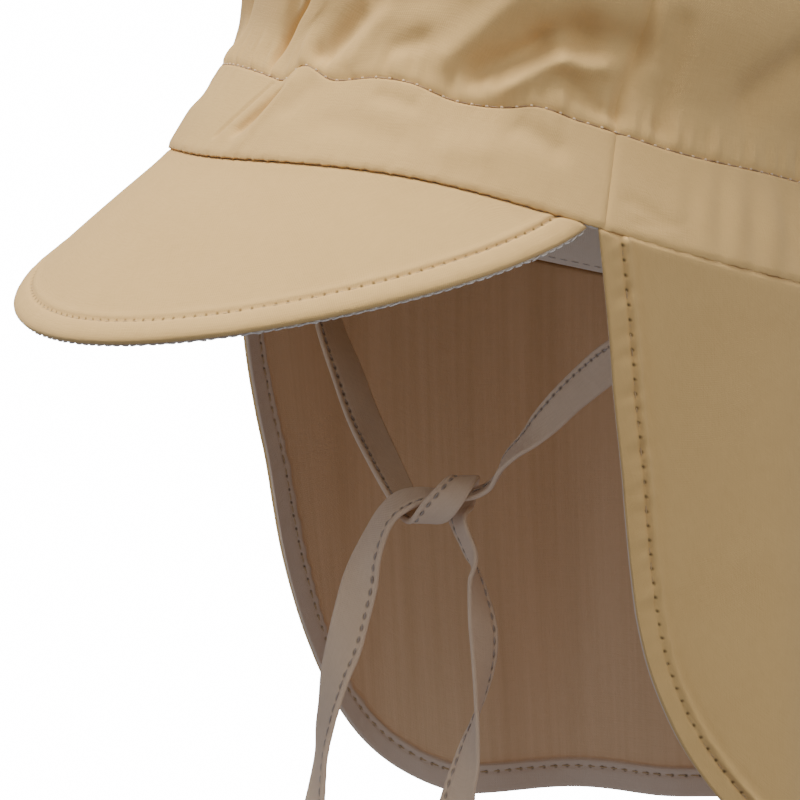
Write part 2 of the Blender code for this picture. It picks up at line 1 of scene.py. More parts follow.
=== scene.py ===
# %% [markdown]
# # A toddler's sun hat with a neck flap
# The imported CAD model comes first. It is the fixed frame: its cloth solids stay in the simulation,
# and each one is replaced here by a finely made piece in the same place. All lengths are in metres,
# X points to the wearer's left, -Y to the front and +Z up.

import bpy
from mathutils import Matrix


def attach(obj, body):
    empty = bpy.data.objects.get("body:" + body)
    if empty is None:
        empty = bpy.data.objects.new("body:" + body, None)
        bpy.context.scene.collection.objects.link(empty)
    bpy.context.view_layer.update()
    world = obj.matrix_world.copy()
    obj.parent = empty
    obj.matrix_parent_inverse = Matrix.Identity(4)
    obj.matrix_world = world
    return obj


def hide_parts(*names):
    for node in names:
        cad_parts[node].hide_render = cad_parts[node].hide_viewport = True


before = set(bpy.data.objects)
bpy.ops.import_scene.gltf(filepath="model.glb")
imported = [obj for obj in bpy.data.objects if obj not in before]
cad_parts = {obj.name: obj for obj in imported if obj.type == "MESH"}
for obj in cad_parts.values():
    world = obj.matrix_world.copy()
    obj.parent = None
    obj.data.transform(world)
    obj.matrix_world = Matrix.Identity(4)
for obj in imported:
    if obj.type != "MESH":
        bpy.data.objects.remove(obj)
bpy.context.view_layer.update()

# %% Imports
import math

import bpy
import numpy as np
from mathutils import Matrix, Vector

MM = 0.001

# %% [markdown]
# ## Camera
# The photograph is taken from the front left, a little above the brow, with a long lens, so that the
# hat fills the frame and runs out of it at the top. A lens of 256 mm gives that flat view from
# 1.2 m away. The camera's three axes are worked out from its two angles, and it is shifted sideways
# and down along them to the middle of the picture.

# %% Camera
CAMERA_AZIMUTH = math.radians(54.0)
CAMERA_ELEVATION = math.radians(7.2)
CAMERA_DISTANCE = 1.2
CAMERA_ASIDE = -0.0275
CAMERA_LIFT = -0.0357
LENS = 256.05

back = Vector((
    math.sin(CAMERA_AZIMUTH) * math.cos(CAMERA_ELEVATION),
    -math.cos(CAMERA_AZIMUTH) * math.cos(CAMERA_ELEVATION),
    math.sin(CAMERA_ELEVATION),
))
right = Vector((math.cos(CAMERA_AZIMUTH), math.sin(CAMERA_AZIMUTH), 0))
above = back.cross(right)
lens = bpy.data.cameras.new("camera")
lens.lens = LENS
lens.sensor_width = 36
lens.clip_start = 0.05
lens.clip_end = 60
camera = bpy.data.objects.new("camera", lens)
bpy.context.scene.collection.objects.link(camera)
place = right * CAMERA_ASIDE + above * CAMERA_LIFT + back * CAMERA_DISTANCE
camera.matrix_world = Matrix.Translation(place) @ Matrix((right, above, back)).transposed().to_4x4()
bpy.context.scene.camera = camera
print("camera at", [round(x, 4) for x in place])

# %% [markdown]
# ## Sizes
# The main sizes are the CAD model's own, so that each piece lies in the space of the solid it
# replaces. The cloth is thinner here: the solids have walls that can be printed, and real cotton is
# about half a millimetre thick. The folds, gathers and seam grooves are finer than the solids' own.

# %% Sizes
HALF_LENGTH = 0.082
HALF_WIDTH = 0.070
LEAN_BACK = 15.0
BAND_HEIGHT = 0.0195
BAND_TAPER = 0.11
CROWN_HEIGHT = 0.0785
CROWN_WALK = 1.6
SIDE_SEAM = 67.5
REAR_SEAM = 122.0
SWELL = 0.016
SWELL_ANGLE = -38.0
SWELL_HALF_ANGLE = 26.0
CLOTH = 0.0012
GAP = 0.0003
PEAK_LENGTH = 0.0510
PEAK_HALF_ANGLE = 65.0
PEAK_SLOPE = 38.5
PEAK_ROOT_DROOP = 14.0
PEAK_TIP_DROOP = 6.0
PEAK_ROOT_LENGTH = 0.0025
PEAK_FULLNESS = 1.04
FLAP_DROP = 0.134
FLAP_FRONT_ANGLE = 66.5
FLAP_CORNER_START = 0.028
FLAP_CORNER_WIDTH = 0.067
FLAP_CORNER_POWER = 1.65
FLAP_EDGE_SHARE = 0.12
FLAP_CORNER_SHARE = 0.66
FLAP_COLUMN_START = 0.30
FLAP_COLUMN_CROWDING = 1.15
FOLD_DEPTH = 0.0060
HEM_WIDTH = 0.0066
TIE_WIDTH = 0.0080
TIE_THICKNESS = 0.0010

# %% [markdown]
# ## Curves through tables
# Hand-made things have few straight lines, so the wavy edges and sections are read off smooth curves
# through short tables. Splines in the viewport could do this too, but a table is easier to correct
# against a photograph, one number at a time. The same curve also carries a route through points.

# %% Curves through tables
def column(rows, index):
    """One column of a table as an array."""
    return np.array([row[index] for row in rows], float)


def smooth(rows, at, index=1):
    """Smooth curve through a table.

    Between two rows at x0 and x1, with s = (x - x0) / (x1 - x0), it is the cubic that has their
    values at s = 0 and 1, and as slopes the mean slopes of the neighbouring rows.
    """
    x = column(rows, 0)
    y = column(rows, index)
    slope = np.gradient(y, x)
    at = np.clip(at, x[0], x[-1])
    left = np.clip(np.searchsorted(x, at, side="right") - 1, 0, len(x) - 2)
    span = x[left + 1] - x[left]
    s = (at - x[left]) / span
    start = (1 + 2 * s) * (1 - s) ** 2 * y[left] + s * (1 - s) ** 2 * span * slope[left]
    end = s * s * (3 - 2 * s) * y[left + 1] + s * s * (s - 1) * span * slope[left + 1]
    return start + end


def through(points, steps):
    """Catmull-Rom curve: with points a, b, c, d in a row and s from 0 to 1 between b and c,

    b + s/2 * (c - a + s * (2a - 5b + 4c - d + s * (3(b - c) + d - a)))
    """
    ends = np.concatenate([[2 * points[0] - points[1]], points, [2 * points[-1] - points[-2]]])
    s = np.linspace(0, 1, steps, endpoint=False)[None, :, None]
    a, b, c, d = (ends[i : len(ends) - 3 + i][:, None, :] for i in range(4))
    curve = b + 0.5 * s * (c - a + s * (2 * a - 5 * b + 4 * c - d + s * (3 * (b - c) + d - a)))
    return np.concatenate([curve.reshape(-1, points.shape[1]), points[-1:]])


def bell(distance, half_width):
    """Soft bump: exp(-(distance / half_width)^2)."""
    return np.exp(-((distance / half_width) ** 2))


def ramp(value, start, end):
    """Soft step from 0 at start to 1 at end: 3s^2 - 2s^3."""
    s = np.clip((value - start) / (end - start), 0, 1)
    return s * s * (3 - 2 * s)


def wander(at, pitch, seed):
    """Uneven wave between about -1 and 1: three sines whose pitches have no common measure."""
    turn = 2 * np.pi * np.asarray(at, float) / pitch
    first = np.sin(turn + seed)
    second = np.sin(turn * 1.618 + 2.1 * seed + 1.3)
    return (first + second + np.sin(turn * 0.57 + 4.7 * seed)) / 2.4


# %% [markdown]
# ## Cloth with two faces and round rims
# A piece of cloth is a sheet with a thickness that can be seen wherever it is cut or turned. The
# Solidify modifier would give it one, but with square rims and one thickness all over. Here a grid of
# points is the outer face, and both faces are set off from the middle of the cloth, less and less
# towards the borders, so that they meet in a round rim like that of a folded edge. The same function
# takes a relief for each face, such as a groove where stitches pull the cloth in. Two maps go with
# it: weave holds the distances walked over the cloth in metres, for the threads, and stitch holds
# the place along and the distance from the nearest line of stitches, for the needle holes.

# %% Cloth with two faces and round rims
RIM_PLACES = np.array([0.0, 0.05, 0.22, 0.55])
FAR_FROM_STITCHES = 99.0
SMALLEST_STEP = 1e-12


def between(start, end, count, rim=0.0):
    """Even places from start to end, with closer ones in a rim of that share at each end."""
    light_through_inner = np.linspace(rim, 1 - rim, count)
    if rim > 0:
        light_through_inner = np.concatenate([RIM_PLACES * rim, light_through_inner, 1 - RIM_PLACES[::-1] * rim])
    return start + (end - start) * light_through_inner


def walked(points, axis):
    """Distance walked along one axis of a grid of points, from 0."""
    pace = np.linalg.norm(np.diff(points, axis=axis), axis=-1)
    first = np.zeros_like(np.take(pace, [0], axis=axis))
    return np.concatenate([first, np.cumsum(pace, axis=axis)], axis=axis)


def unit(vectors):
    """The same vectors, 1 long."""
    return vectors / np.maximum(np.linalg.norm(vectors, axis=-1, keepdims=True), SMALLEST_STEP)


def face_normals(points, closed=False):
    """Unit normals of a grid: the cross product of its steps across and its steps up."""
    if closed:
        across = np.roll(points[:-1], -1, 0) - np.roll(points[:-1], 1, 0)
        across = np.concatenate([across, across[:1]])
    else:
        across = np.gradient(points, axis=0)
    return unit(np.cross(across, np.gradient(points, axis=1)))


def solid(name, corners, faces, maps=(), values=()):
    """Mesh object from points and faces, with maps per face corner and values per point."""
    mesh = bpy.data.meshes.new(name)
    mesh.from_pydata(corners.tolist(), [], faces.tolist())
    for title, places in maps:
        layer = mesh.uv_layers.new(name=title)
        layer.data.foreach_set("uv", places.astype(np.float32).ravel())
    for title, numbers in values:
        attribute = mesh.attributes.new(title, "FLOAT", "POINT")
        attribute.data.foreach_set("value", numbers.astype(np.float32).ravel())
    mesh.shade_smooth()
    piece = bpy.data.objects.new(name, mesh)
    bpy.context.scene.collection.objects.link(piece)
    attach(piece, "root")
    return piece


def cloth(name, outer, thickness, closed=False, relief=0.0, under=0.0, stitch=None, tone=None):
    """Closed shell of cloth from the grid of its outer face.

    With n the normal, t the thickness and e the distance to the nearest border, the two faces stand
    t/2 * sqrt(1 - (1 - e/r)^2) to each side of the middle, outer - n t/2, where r = t/2. A closed
    grid ends on the column that it starts with.
    """
    across, up = outer.shape[:2]
    normal = face_normals(outer, closed)
    along, high = walked(outer, 0), walked(outer, 1)
    edge = np.minimum(high, high[:, -1:] - high)
    if not closed:
        edge = np.minimum(edge, np.minimum(along, along[-1:] - along))
    radius = np.broadcast_to(np.asarray(thickness) / 2, edge.shape)
    share = np.clip(edge / radius, 0, 1)
    roundness = np.sqrt(np.clip(1 - (1 - share) ** 2, 0, 1))
    middle = outer - normal * radius[..., None]
    front = middle + normal * ((radius + relief) * roundness)[..., None]
    rear = middle - normal * ((radius + under) * roundness)[..., None]

    kept = across - 1 if closed else across
    index = np.arange(kept * up).reshape(kept, up)
    inside = np.zeros((kept, up), bool)
    inside[:, 1:-1] = True
    if not closed:
        inside[[0, -1]] = False
    hidden = index.copy()
    hidden[inside] = kept * up + np.arange(inside.sum())
    if closed:
        index = np.vstack([index, index[:1]])
        hidden = np.vstack([hidden, hidden[:1]])

    def quads(grid):
        return np.stack([grid[:-1, :-1], grid[1:, :-1], grid[1:, 1:], grid[:-1, 1:]], -1).reshape(-1, 4)

    faces = np.concatenate([quads(index), quads(hidden)[:, ::-1]])
    order = quads(np.arange(across * up).reshape(across, up))
    order = np.concatenate([order, order[:, ::-1]]).ravel()
    weave = np.stack([along - along[along.shape[0] // 2], high], -1).reshape(-1, 2)[order]
    if stitch is None:
        stitch = np.full((across, up, 2), FAR_FROM_STITCHES)
    marks = stitch.reshape(-1, 2)[order]
    points = np.concatenate([front[:kept].reshape(-1, 3), rear[:kept][inside]])
    within = np.concatenate([np.where(inside, 0.0, 0.5).ravel(), np.ones(inside.sum())])
    values = [("inside", within)]
    if tone is not None:
        tone = np.broadcast_to(tone, (across, up))[:kept]
        values.append(("tone", np.concatenate([tone.ravel(), tone[inside]])))
    piece = solid(name, points, faces, [("weave", weave), ("stitch", marks)], values)
    print(name, "faces:", len(faces))
    return piece


# %% [markdown]
# ## Stitches
# On the real hat every seam is sewn with one thread: it lies on the cloth from one needle hole to the
# next and dives into it there. A line of them could be a bump in the cloth's material, but a thread
# stands proud and catches the light, so each stitch is a small mesh. All stitches of a row are made
# at once: a tube of a few sides whose middle line rises in an arch between its two holes.

# %% Stitches
THREAD_SIDES = 6
THREAD_STATIONS = np.array([0.0, 0.10, 0.32, 0.68, 0.90, 1.0])
THREAD_GIRTH = np.array([0.25, 0.75, 1.0, 1.0, 0.75, 0.25])


def stitches(name, starts, ends, normals, radius, arch):
    """Threads from starts to ends: round sections whose centre is start + (end - start) s + n arch
    sin(pi s), and whose radius falls to a quarter at both ends."""
    count = len(starts)
    s = THREAD_STATIONS[None, :, None]
    rise = (arch * np.sin(np.pi * s)) - radius * (1 - THREAD_GIRTH[None, :, None])
    centre = starts[:, None] + (ends - starts)[:, None] * s + normals[:, None] * rise
    ahead = unit(ends - starts)
    side = unit(np.cross(normals, ahead))
    up = np.cross(ahead, side)
    turn = np.arange(THREAD_SIDES) * 2 * np.pi / THREAD_SIDES
    spoke = side[:, None, None] * np.cos(turn)[None, None, :, None]
    spoke = spoke + up[:, None, None] * np.sin(turn)[None, None, :, None]
    points = centre[:, :, None] + spoke * radius * THREAD_GIRTH[None, :, None, None]
    stations = len(THREAD_STATIONS)
    index = np.arange(stations * THREAD_SIDES).reshape(stations, THREAD_SIDES)
    beside = np.roll(index, -1, 1)
    walls = np.stack([index[:-1], beside[:-1], beside[1:], index[1:]], -1).reshape(-1, 4)
    first, last = index[0], index[-1][::-1]
    caps = [first[[0, 3, 2, 1]], first[[0, 5, 4, 3]], last[[0, 3, 2, 1]], last[[0, 5, 4, 3]]]
    one = np.concatenate([walls, np.array(caps)])
    faces = (one[None] + np.arange(count)[:, None, None] * stations * THREAD_SIDES).reshape(-1, 4)
    piece = solid(name, points.reshape(-1, 3), faces)
    print(name, "stitches:", count)
    return piece


def stitch_row(points, normals, pitch, gap, shift=0.0):
    """Starts, ends and normals of the stitches along a line: one each pitch, with a gap between."""
    far = walked(points[:, None], 0)[:, 0]
    holes = np.arange(int((far[-1] - shift) / pitch)) * pitch + shift

    def at(rows, place):
        return np.stack([np.interp(place, far, rows[:, i]) for i in range(3)], -1)

    half = gap / 2
    middle = unit(at(normals, holes + pitch / 2))
    return at(points, holes + half), at(points, holes + pitch - half), middle


# %% [markdown]
# ## Chin ties
# Each tie is a flat tape, folded from a strip of cotton and stitched along one edge, 8 mm wide. The
# two hang from the sweatband, meet in a half-knot below the chin and fall in loose twists. A curve
# with a flat bevel could follow the route, but its twist is hard to steer, so the tape is a grid:
# along its route, and across its width, which lies square to the route and to the way that the flat
# side looks. Both tapes are free cords of a known length, so they are made first.

# %% Chin ties: their routes
# Millimetres. turn and lift give the way that the flat side looks, turn as an angle round the head,
# and width is a share of the tape's width, less where the knot crumples it
TIE_RIGHT_ROUTE = (
    # x, y, z, turn, lift, width
    (-67.2, -9.4, -0.4, 96, 0, 1.0),
    (-65.8, -10.9, -8.0, 100, 10, 1.0),
    (-59.1, -11.7, -18.8, 105, 28, 1.0),
    (-54.6, -12.9, -25.0, 100, 40, 1.0),
    (-45.9, -15.4, -32.3, 83, 50, 1.0),
    (-35.4, -18.3, -41.4, 74, 55, 1.0),
    (-22.0, -22.2, -49.6, 84, 58, 1.0),
    (-14.2, -23.8, -55.2, 90, 57, 0.95),
    (-10.7, -24.6, -57.6, 90, 62, 0.8),
    (-7.0, -25.3, -59.5, 60, 78, 0.75),
    (-2.4, -26.4, -59.9, -126, 75, 0.8),
    (1.9, -26.5, -57.6, -126, 25, 0.9),
    (5.0, -25.3, -54.2, -126, -15, 0.85),
    (5.3, -22.7, -51.4, -126, -55, 0.8),
    (3.2, -19.4, -50.6, 54, -85, 0.75),
    (0.0, -17.4, -52.4, 54, -25, 0.8),
    (-0.6, -17.9, -56.9, 30, 5, 0.8),
    (1.4, -19.4, -61.0, -10, -10, 0.9),
    (4.6, -18.5, -67.2, -21, -12, 1.0),
    (5.3, -18.4, -71.5, -52, -11, 1.0),
    (6.0, -18.1, -75.5, -66, -12, 1.0),
    (7.2, -17.9, -81.0, -81, -9, 1.0),
    (8.0, -18.0, -86.7, -79, -4, 1.0),
    (8.4, -18.9, -93.4, -61, 2, 1.0),
    (8.4, -19.9, -98.4, -44, 8, 1.0),
    (8.4, -20.6, -101.5, -32, 12, 1.0),
    (8.3, -21.8, -106.2, -12, 14, 1.0),
    (8.2, -22.9, -110.9, 7, 14, 1.0),
    (8.0, -24.2, -115.3, 19, 14, 1.0),
    (7.9, -25.2, -119.5, 36, 12, 1.0),
    (7.4, -26.9, -124.2, 47, 10, 1.0),
    (7.1, -28.0, -127.1, 47, 10, 1.0),
)
TIE_LEFT_ROUTE = (
    # x, y, z, turn, lift, width
    (67.2, -9.4, -0.4, 84, 0, 1.0),
    (66.0, -11.2, -7.0, 75, -4, 1.0),
    (61.0, -12.6, -13.5, 50, -14, 1.0),
    (53.5, -14.0, -18.5, 22, -22, 1.0),
    (45.4, -13.9, -22.5, 6, -22, 1.0),
    (40.3, -13.6, -25.3, 5, -12, 1.0),
    (35.9, -13.3, -27.9, 3, -6, 1.0),
    (31.3, -13.6, -31.1, 5, 4, 1.0),
    (26.8, -14.4, -34.9, 3, 10, 1.0),
    (22.4, -15.3, -38.6, -6, 21, 1.0),
    (17.8, -16.3, -42.5, -24, 36, 1.0),
    (13.4, -17.1, -46.4, -32, 36, 1.0),
    (9.9, -17.2, -51.1, -35, 42, 0.8),
    (6.1, -18.9, -53.6, -20, 62, 0.66),
    (2.4, -21.4, -54.2, 10, 76, 0.68),
    (-1.4, -23.4, -54.5, 30, 76, 0.72),
    (-4.2, -26.0, -54.9, 20, 62, 0.85),
    (-6.6, -29.0, -56.2, 6, 46, 1.0),
    (-7.8, -31.7, -58.7, -2, 38, 1.0),
    (-8.4, -33.9, -62.2, -2, 28, 1.0),
    (-8.7, -36.6, -67.9, 14, 21, 1.0),
    (-8.5, -38.6, -73.9, 45, 14, 1.0),
    (-8.5, -40.7, -80.4, 55, 10, 1.0),
    (-8.6, -42.4, -86.2, 38, 12, 1.0),
    (-9.0, -44.2, -91.6, 15, 15, 1.0),
    (-9.2, -45.7, -97.7, -4, 14, 1.0),
    (-9.2, -46.9, -102.7, -12, 12, 1.0),
    (-9.1, -47.9, -108.5, -21, 8, 1.0),
    (-8.9, -49.4, -116.5, -12, 11, 1.0),
    (-8.8, -50.6, -122.7, 1, 10, 1.0),
    (-8.6, -51.1, -126.1, 12, 9, 1.0),
)

# %% Chin ties: tapes and their stitches
TIE_STEPS = 12
TIE_PLACES = 26
TIE_ARCH = 0.00025
TIE_STITCH_INSET = 0.0013
TIE_STITCH_PITCH = 0.00255
TIE_STITCH_GAP = 0.0007
TIE_GROOVE = 0.00016
TIE_GROOVE_HALF_WIDTH = 0.00045
TIE_FOLD_RELIEF = 0.00012
KNOT_START = 12.0
KNOT_END = 14.5
THREAD_RADIUS = 0.00017


def tie(side, route, stitched, node):
    """Tape whose point at a distance x across is path + across x + facing * arch * (1 - (2x/w)^2).

    stitched tells which edge carries the stitches, 1 or -1, before and after the knot.
    """
    rows = np.array(route, float)
    turn, lift = np.radians(rows[:, 3]), np.radians(rows[:, 4])
    facing = np.stack([np.sin(turn) * np.cos(lift), -np.cos(turn) * np.cos(lift), np.sin(lift)], -1)
    fine = through(np.hstack([rows[:, :3] * MM, facing, rows[:, 5:]]), TIE_STEPS)
    path, facing, width = fine[:, :3], fine[:, 3:6], fine[:, 6] * TIE_WIDTH
    ahead = unit(np.gradient(path, axis=0))
    across = unit(np.cross(ahead, facing))
    facing = np.cross(across, ahead)
    gone = walked(path[:, None], 0)[:, 0]

    place = between(-0.5, 0.5, TIE_PLACES, TIE_THICKNESS / 2 / TIE_WIDTH)[::-1]
    x = place[None] * width[:, None]
    arch = TIE_ARCH * (1 - (2 * place[None]) ** 2) * wander(gone, 0.045, 1.0)[:, None]
    lift = TIE_THICKNESS / 2 + arch
    outer = path[:, None] + across[:, None] * x[..., None] + facing[:, None] * lift[..., None]
    before, after = stitched
    in_knot = ramp(np.arange(len(path)) / TIE_STEPS, KNOT_START, KNOT_END)
    edge = before + (after - before) * in_knot
    line = edge * (width / 2 - TIE_STITCH_INSET)
    off = x - line[:, None]
    groove = -TIE_GROOVE * bell(off, TIE_GROOVE_HALF_WIDTH)
    beyond = edge[:, None] * off - TIE_STITCH_INSET * 0.6
    folded = TIE_FOLD_RELIEF * bell(beyond, TIE_GROOVE_HALF_WIDTH)
    puckers = 0.00006 * wander(gone, 0.0045, 2.0)[:, None] * bell(off, 0.0016)
    marks = np.stack([gone[:, None] / TIE_STITCH_PITCH + 0 * x, off / MM], -1)
    tape = cloth(
        "chin_tie_" + side, outer, TIE_THICKNESS, relief=groove + folded + puckers,
        under=groove + folded + puckers, stitch=marks,
    )
    rows_made = []
    for way in (1, -1):
        top = path + across * line[:, None] + facing * way * (TIE_THICKNESS / 2 - TIE_GROOVE)
        rows_made.append(stitch_row(top, facing * way, TIE_STITCH_PITCH, TIE_STITCH_GAP))
    joined = [np.concatenate(parts) for parts in zip(*rows_made)]
    thread = stitches("chin_tie_" + side + "_stitches", *joined, THREAD_RADIUS, 0.00008)
    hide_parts(node)
    return tape, thread


left_tie, left_tie_thread = tie("left", TIE_LEFT_ROUTE, (1, -1), "tie_left")
right_tie, right_tie_thread = tie("right", TIE_RIGHT_ROUTE, (1, 1), "tie_right")

# %% [markdown]
# ## The head opening
# The hat is drawn round an ellipse, the opening for the head, whose plane leans back as on a worn
# hat. Places are given by an angle round the head, 0 over the forehead and 90 over the left ear, and
# by how far they reach out and rise. Everything that is sewn to the rim shares these few functions,
# which is what keeps the seams closed.

# %% The head opening
RIM_WAVE = (
    # angle, rise as a share of the band's height
    (-180, -0.02),
    (-125, -0.03),
    (-80, -0.07),
    (-41, 0.065),
    (-3, -0.062),
    (41, 0.066),
    (78, -0.072),
    (125, -0.03),
    (180, -0.02),
)


def wrapped(angle):
    """An angle round the head between -180 and 180."""
    return (np.asarray(angle, float) + 180.0) % 360.0 - 180.0


def leant(x, y, z):
    """Hat coordinates turned about X by the lean: y cos + z sin, and z cos - y sin."""
    lean = math.radians(LEAN_BACK)
    return np.stack(
        [x, y * math.cos(lean) + z * math.sin(lean), z * math.cos(lean) - y * math.sin(lean)], -1
    )


def ring(angle, reach, rise):
    """Ellipse with half sizes times reach, at a rise: x = W sin(angle), y = -L cos(angle)."""
    turn = np.radians(angle)
    x = HALF_WIDTH * reach * np.sin(turn)
    y = -HALF_LENGTH * reach * np.cos(turn)
    return leant(x, y, rise + 0 * turn)


def outwards(angle):
    """Level direction square to the ellipse: (sin / W, -cos / L), made 1 long."""
    turn = np.radians(angle)
    x = np.sin(turn) / HALF_WIDTH
    y = -np.cos(turn) / HALF_LENGTH
    size = np.hypot(x, y)
    return x / size, y / size


def rim_rise(angle):
    """Height of the band's lower edge."""
    return BAND_HEIGHT * smooth(RIM_WAVE, wrapped(angle))


def root_rise(angle):
    """Height where peak and flap start, close under the band's lower edge."""
    return rim_rise(angle) - GAP


def grooves(rows, angle, height, size):
    """Sum of soft grooves: depth * exp(-(distance to the line / half width)^2) for each line.

    Heights are shares of a size; an angle becomes the same share along a circle like the rim.
    """
    total = np.zeros(np.broadcast(angle, height).shape)
    pace = math.radians(1) * math.sqrt(HALF_LENGTH * HALF_WIDTH) / size
    for start, low, end, high, half_width, depth in rows:
        run, climb = (end - start) * pace, high - low
        u, v = wrapped(angle - start) * pace, height - low
        along = np.clip((u * run + v * climb) / (run * run + climb * climb), 0, 1)
        away = np.hypot(u - along * run, v - along * climb)
        total = total + depth * bell(away, half_width)
    return total


print("rim at the forehead:", np.round(ring(0, 1, rim_rise(0)), 4))
print("rim at the nape:", np.round(ring(180, 1, rim_rise(180)), 4))

# %% [markdown]
# ## Headband
# The band is one straight strip of double cloth over the forehead, and a second one, drawn together
# by elastic, round the back. They meet in an upright seam over each ear. The strip narrows upwards
# like a cone. It is soft, so it has dents, which are long shallow grooves with round ends, pushed in
# where the photograph shades the cloth. Cloth simulation would crease it too, but not where these
# creases are.

# %% Headband: shape
SEAM_WAVE = (
    # angle, height of the seam with the crown as a share of the band's height
    (-180, 0.97),
    (-120, 0.96),
    (-90, 0.98),
    (-67, 0.95),
    (-50, 1.02),
    (-33, 1.01),
    (-15, 0.97),
    (-5, 0.91),
    (0, 0.87),
    (4.2, 0.86),
    (7, 1.00),
    (16, 0.92),
    (25, 1.02),
    (31, 1.03),
    (40, 0.93),
    (49, 0.975),
    (53, 1.045),
    (61, 1.00),
    (67, 0.975),
    (76, 0.93),
    (100, 0.97),
    (180, 0.97),
)
BAND_FOLDS = (
    # angle, height, to_angle, to_height, half_width, depth, in shares of the band's height
    (4.9, 0.78, 0.7, 0.32, 0.080, 0.085),
    (7.5, 0.85, 3.8, 0.15, 0.11, -0.045),
    (1.6, 0.93, -4.4, 0.20, 0.024, 0.034),
    (12.3, 0.82, 10.7, 0.56, 0.12, 0.030),
    (20, 0.46, 33, 0.34, 0.17, 0.028),
    (27, 0.80, 33, 0.76, 0.10, 0.034),
    (42, 0.40, 47, 0.45, 0.20, -0.030),
    (51.8, 0.76, 58, 0.64, 0.14, 0.048),
    (-27, 0.72, -33, 0.60, 0.16, 0.045),
    (-52, 0.66, -57, 0.50, 0.16, 0.045),
    (70.5, 0.34, 75.5, 0.27, 0.080, 0.014),
    (72.5, 0.13, 79, 0.24, 0.070, 0.012),
)
GATHER_DEPTH = 0.0011
GATHER_PITCH = 6.5
BAND_THICKNESS = 0.0011
BAND_RIM = 0.04
PUCKER_DEPTH = 0.00012
PUCKER_PITCH = 5.0
PUCKER_REACH = 0.0035


def swell(angle):
    """Share by which the seam between band and crown stands out over the right brow."""
    return SWELL * bell(wrapped(angle - SWELL_ANGLE), SWELL_HALF_ANGLE)


def seam_rise(angle):
    """Height of the seam between band and crown."""
    return BAND_HEIGHT * smooth(SEAM_WAVE, wrapped(angle))


def band_cone(angle, up):
    """Headband without folds: the ring whose reach is 1 - taper * up, between its two edges."""
    rise = rim_rise(angle) * (1 - up) + seam_rise(angle) * up
    return ring(angle, 1 - BAND_TAPER * up + swell(angle) * np.clip(up / 0.45, 0, 1), rise)


def slack(up):
    """How free the band is to fold: sqrt(sin(pi up))."""
    return np.sqrt(np.sin(np.pi * np.clip(up, 0, 1)))


def gathers(angle):
    """Upright puckers of the elastic, from nothing behind the side seams, with uneven pitch."""
    behind = ramp(np.abs(wrapped(angle)), SIDE_SEAM + 3, SIDE_SEAM + 30)
    uneven = wrapped(angle) * 360 / GATHER_PITCH + 80 * np.sin(np.radians(wrapped(angle)) * 9)
    return behind * (0.5 + 0.5 * np.cos(np.radians(uneven)))


def band_surface(angle, up):
    """Headband: the cone, pushed in by its folds and puffed out between the elastic's puckers."""
    push = BAND_HEIGHT * grooves(BAND_FOLDS, angle, up, BAND_HEIGHT) * slack(up)
    push = push - GATHER_DEPTH * gathers(angle) * bell(up - 0.45, 0.42)
    near_seam = np.minimum(up, 1 - up) * BAND_HEIGHT / PUCKER_REACH
    puckers = wander(angle, PUCKER_PITCH, 3.0) * np.exp(-near_seam) * np.clip(near_seam * 4, 0, 1)
    push = push + PUCKER_DEPTH * puckers
    x, y = outwards(angle)
    return band_cone(angle, up) - leant(x * push, y * push, 0 * push)


# %% Headband: front and back pieces
BAND_ROWS = 44
SEAM_OVERLAP = 0.0005
BAND_OVERHANG = 0.014
BAND_TUCK_HEIGHT = 0.045
BAND_TUCK_DEPTH = 0.0012
RAGGED = 0.009
RAGGED_PITCH = 1.6
ROLL_DEPTH = 0.0003
ROLL_HALF_WIDTH = 0.0008


def band(name, start, end, columns, node):
    """One strip of the band between two upright seams, with a seam allowance at both.

    Its lower edge hangs over the roots of peak and flap, a little ragged, and is rolled under. Its
    upper edge is tucked behind the crown.
    """
    margin = math.degrees(SEAM_OVERLAP / 2 / HALF_WIDTH)
    length = math.radians(end - start) * math.sqrt(HALF_LENGTH * HALF_WIDTH)
    angle = between(start - margin, end + margin, columns, BAND_THICKNESS / 2 / length)[:, None]
    up = between(-BAND_OVERHANG, 1 + BAND_TUCK_HEIGHT, BAND_ROWS, BAND_RIM)[None]
    up = up + RAGGED * wander(angle, RAGGED_PITCH, 2.0) * bell(up + BAND_OVERHANG, 0.06)
    outer = band_surface(angle, up)
    tuck = BAND_TUCK_DEPTH * ramp(up, 0.985, 1.02)
    outer = outer - face_normals(outer) * tuck[..., None]
    height = walked(outer, 1)
    side = walked(outer, 0)
    to_seam = np.minimum(side, side[-1:] - side)
    relief = -ROLL_DEPTH * (bell(height, ROLL_HALF_WIDTH) + bell(to_seam, ROLL_HALF_WIDTH))
    piece = cloth(name, outer, BAND_THICKNESS, relief=relief)
    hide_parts(node)
    return piece


front_band = band("headband_front", -SIDE_SEAM, SIDE_SEAM, 300, "band_front")
back_band = band("headband_back", SIDE_SEAM, 360 - SIDE_SEAM, 400, "band_back")

# %% [markdown]
# ## Crown
# Six gores of thin cloth make the crown: each is a triangle with curved sides, sewn to its neighbours
# along seams that sink into a shallow valley. The section of the crown is a table, walked from the
# band's seam to the top. The gathered cloth turns a little on the band, and slants in folds, and both
# are tables too. A gore is its own piece with round edges. Neighbours overlap by a seam allowance, so
# that no light comes through, and a narrow groove marks the seam. The groove is deeper low down.

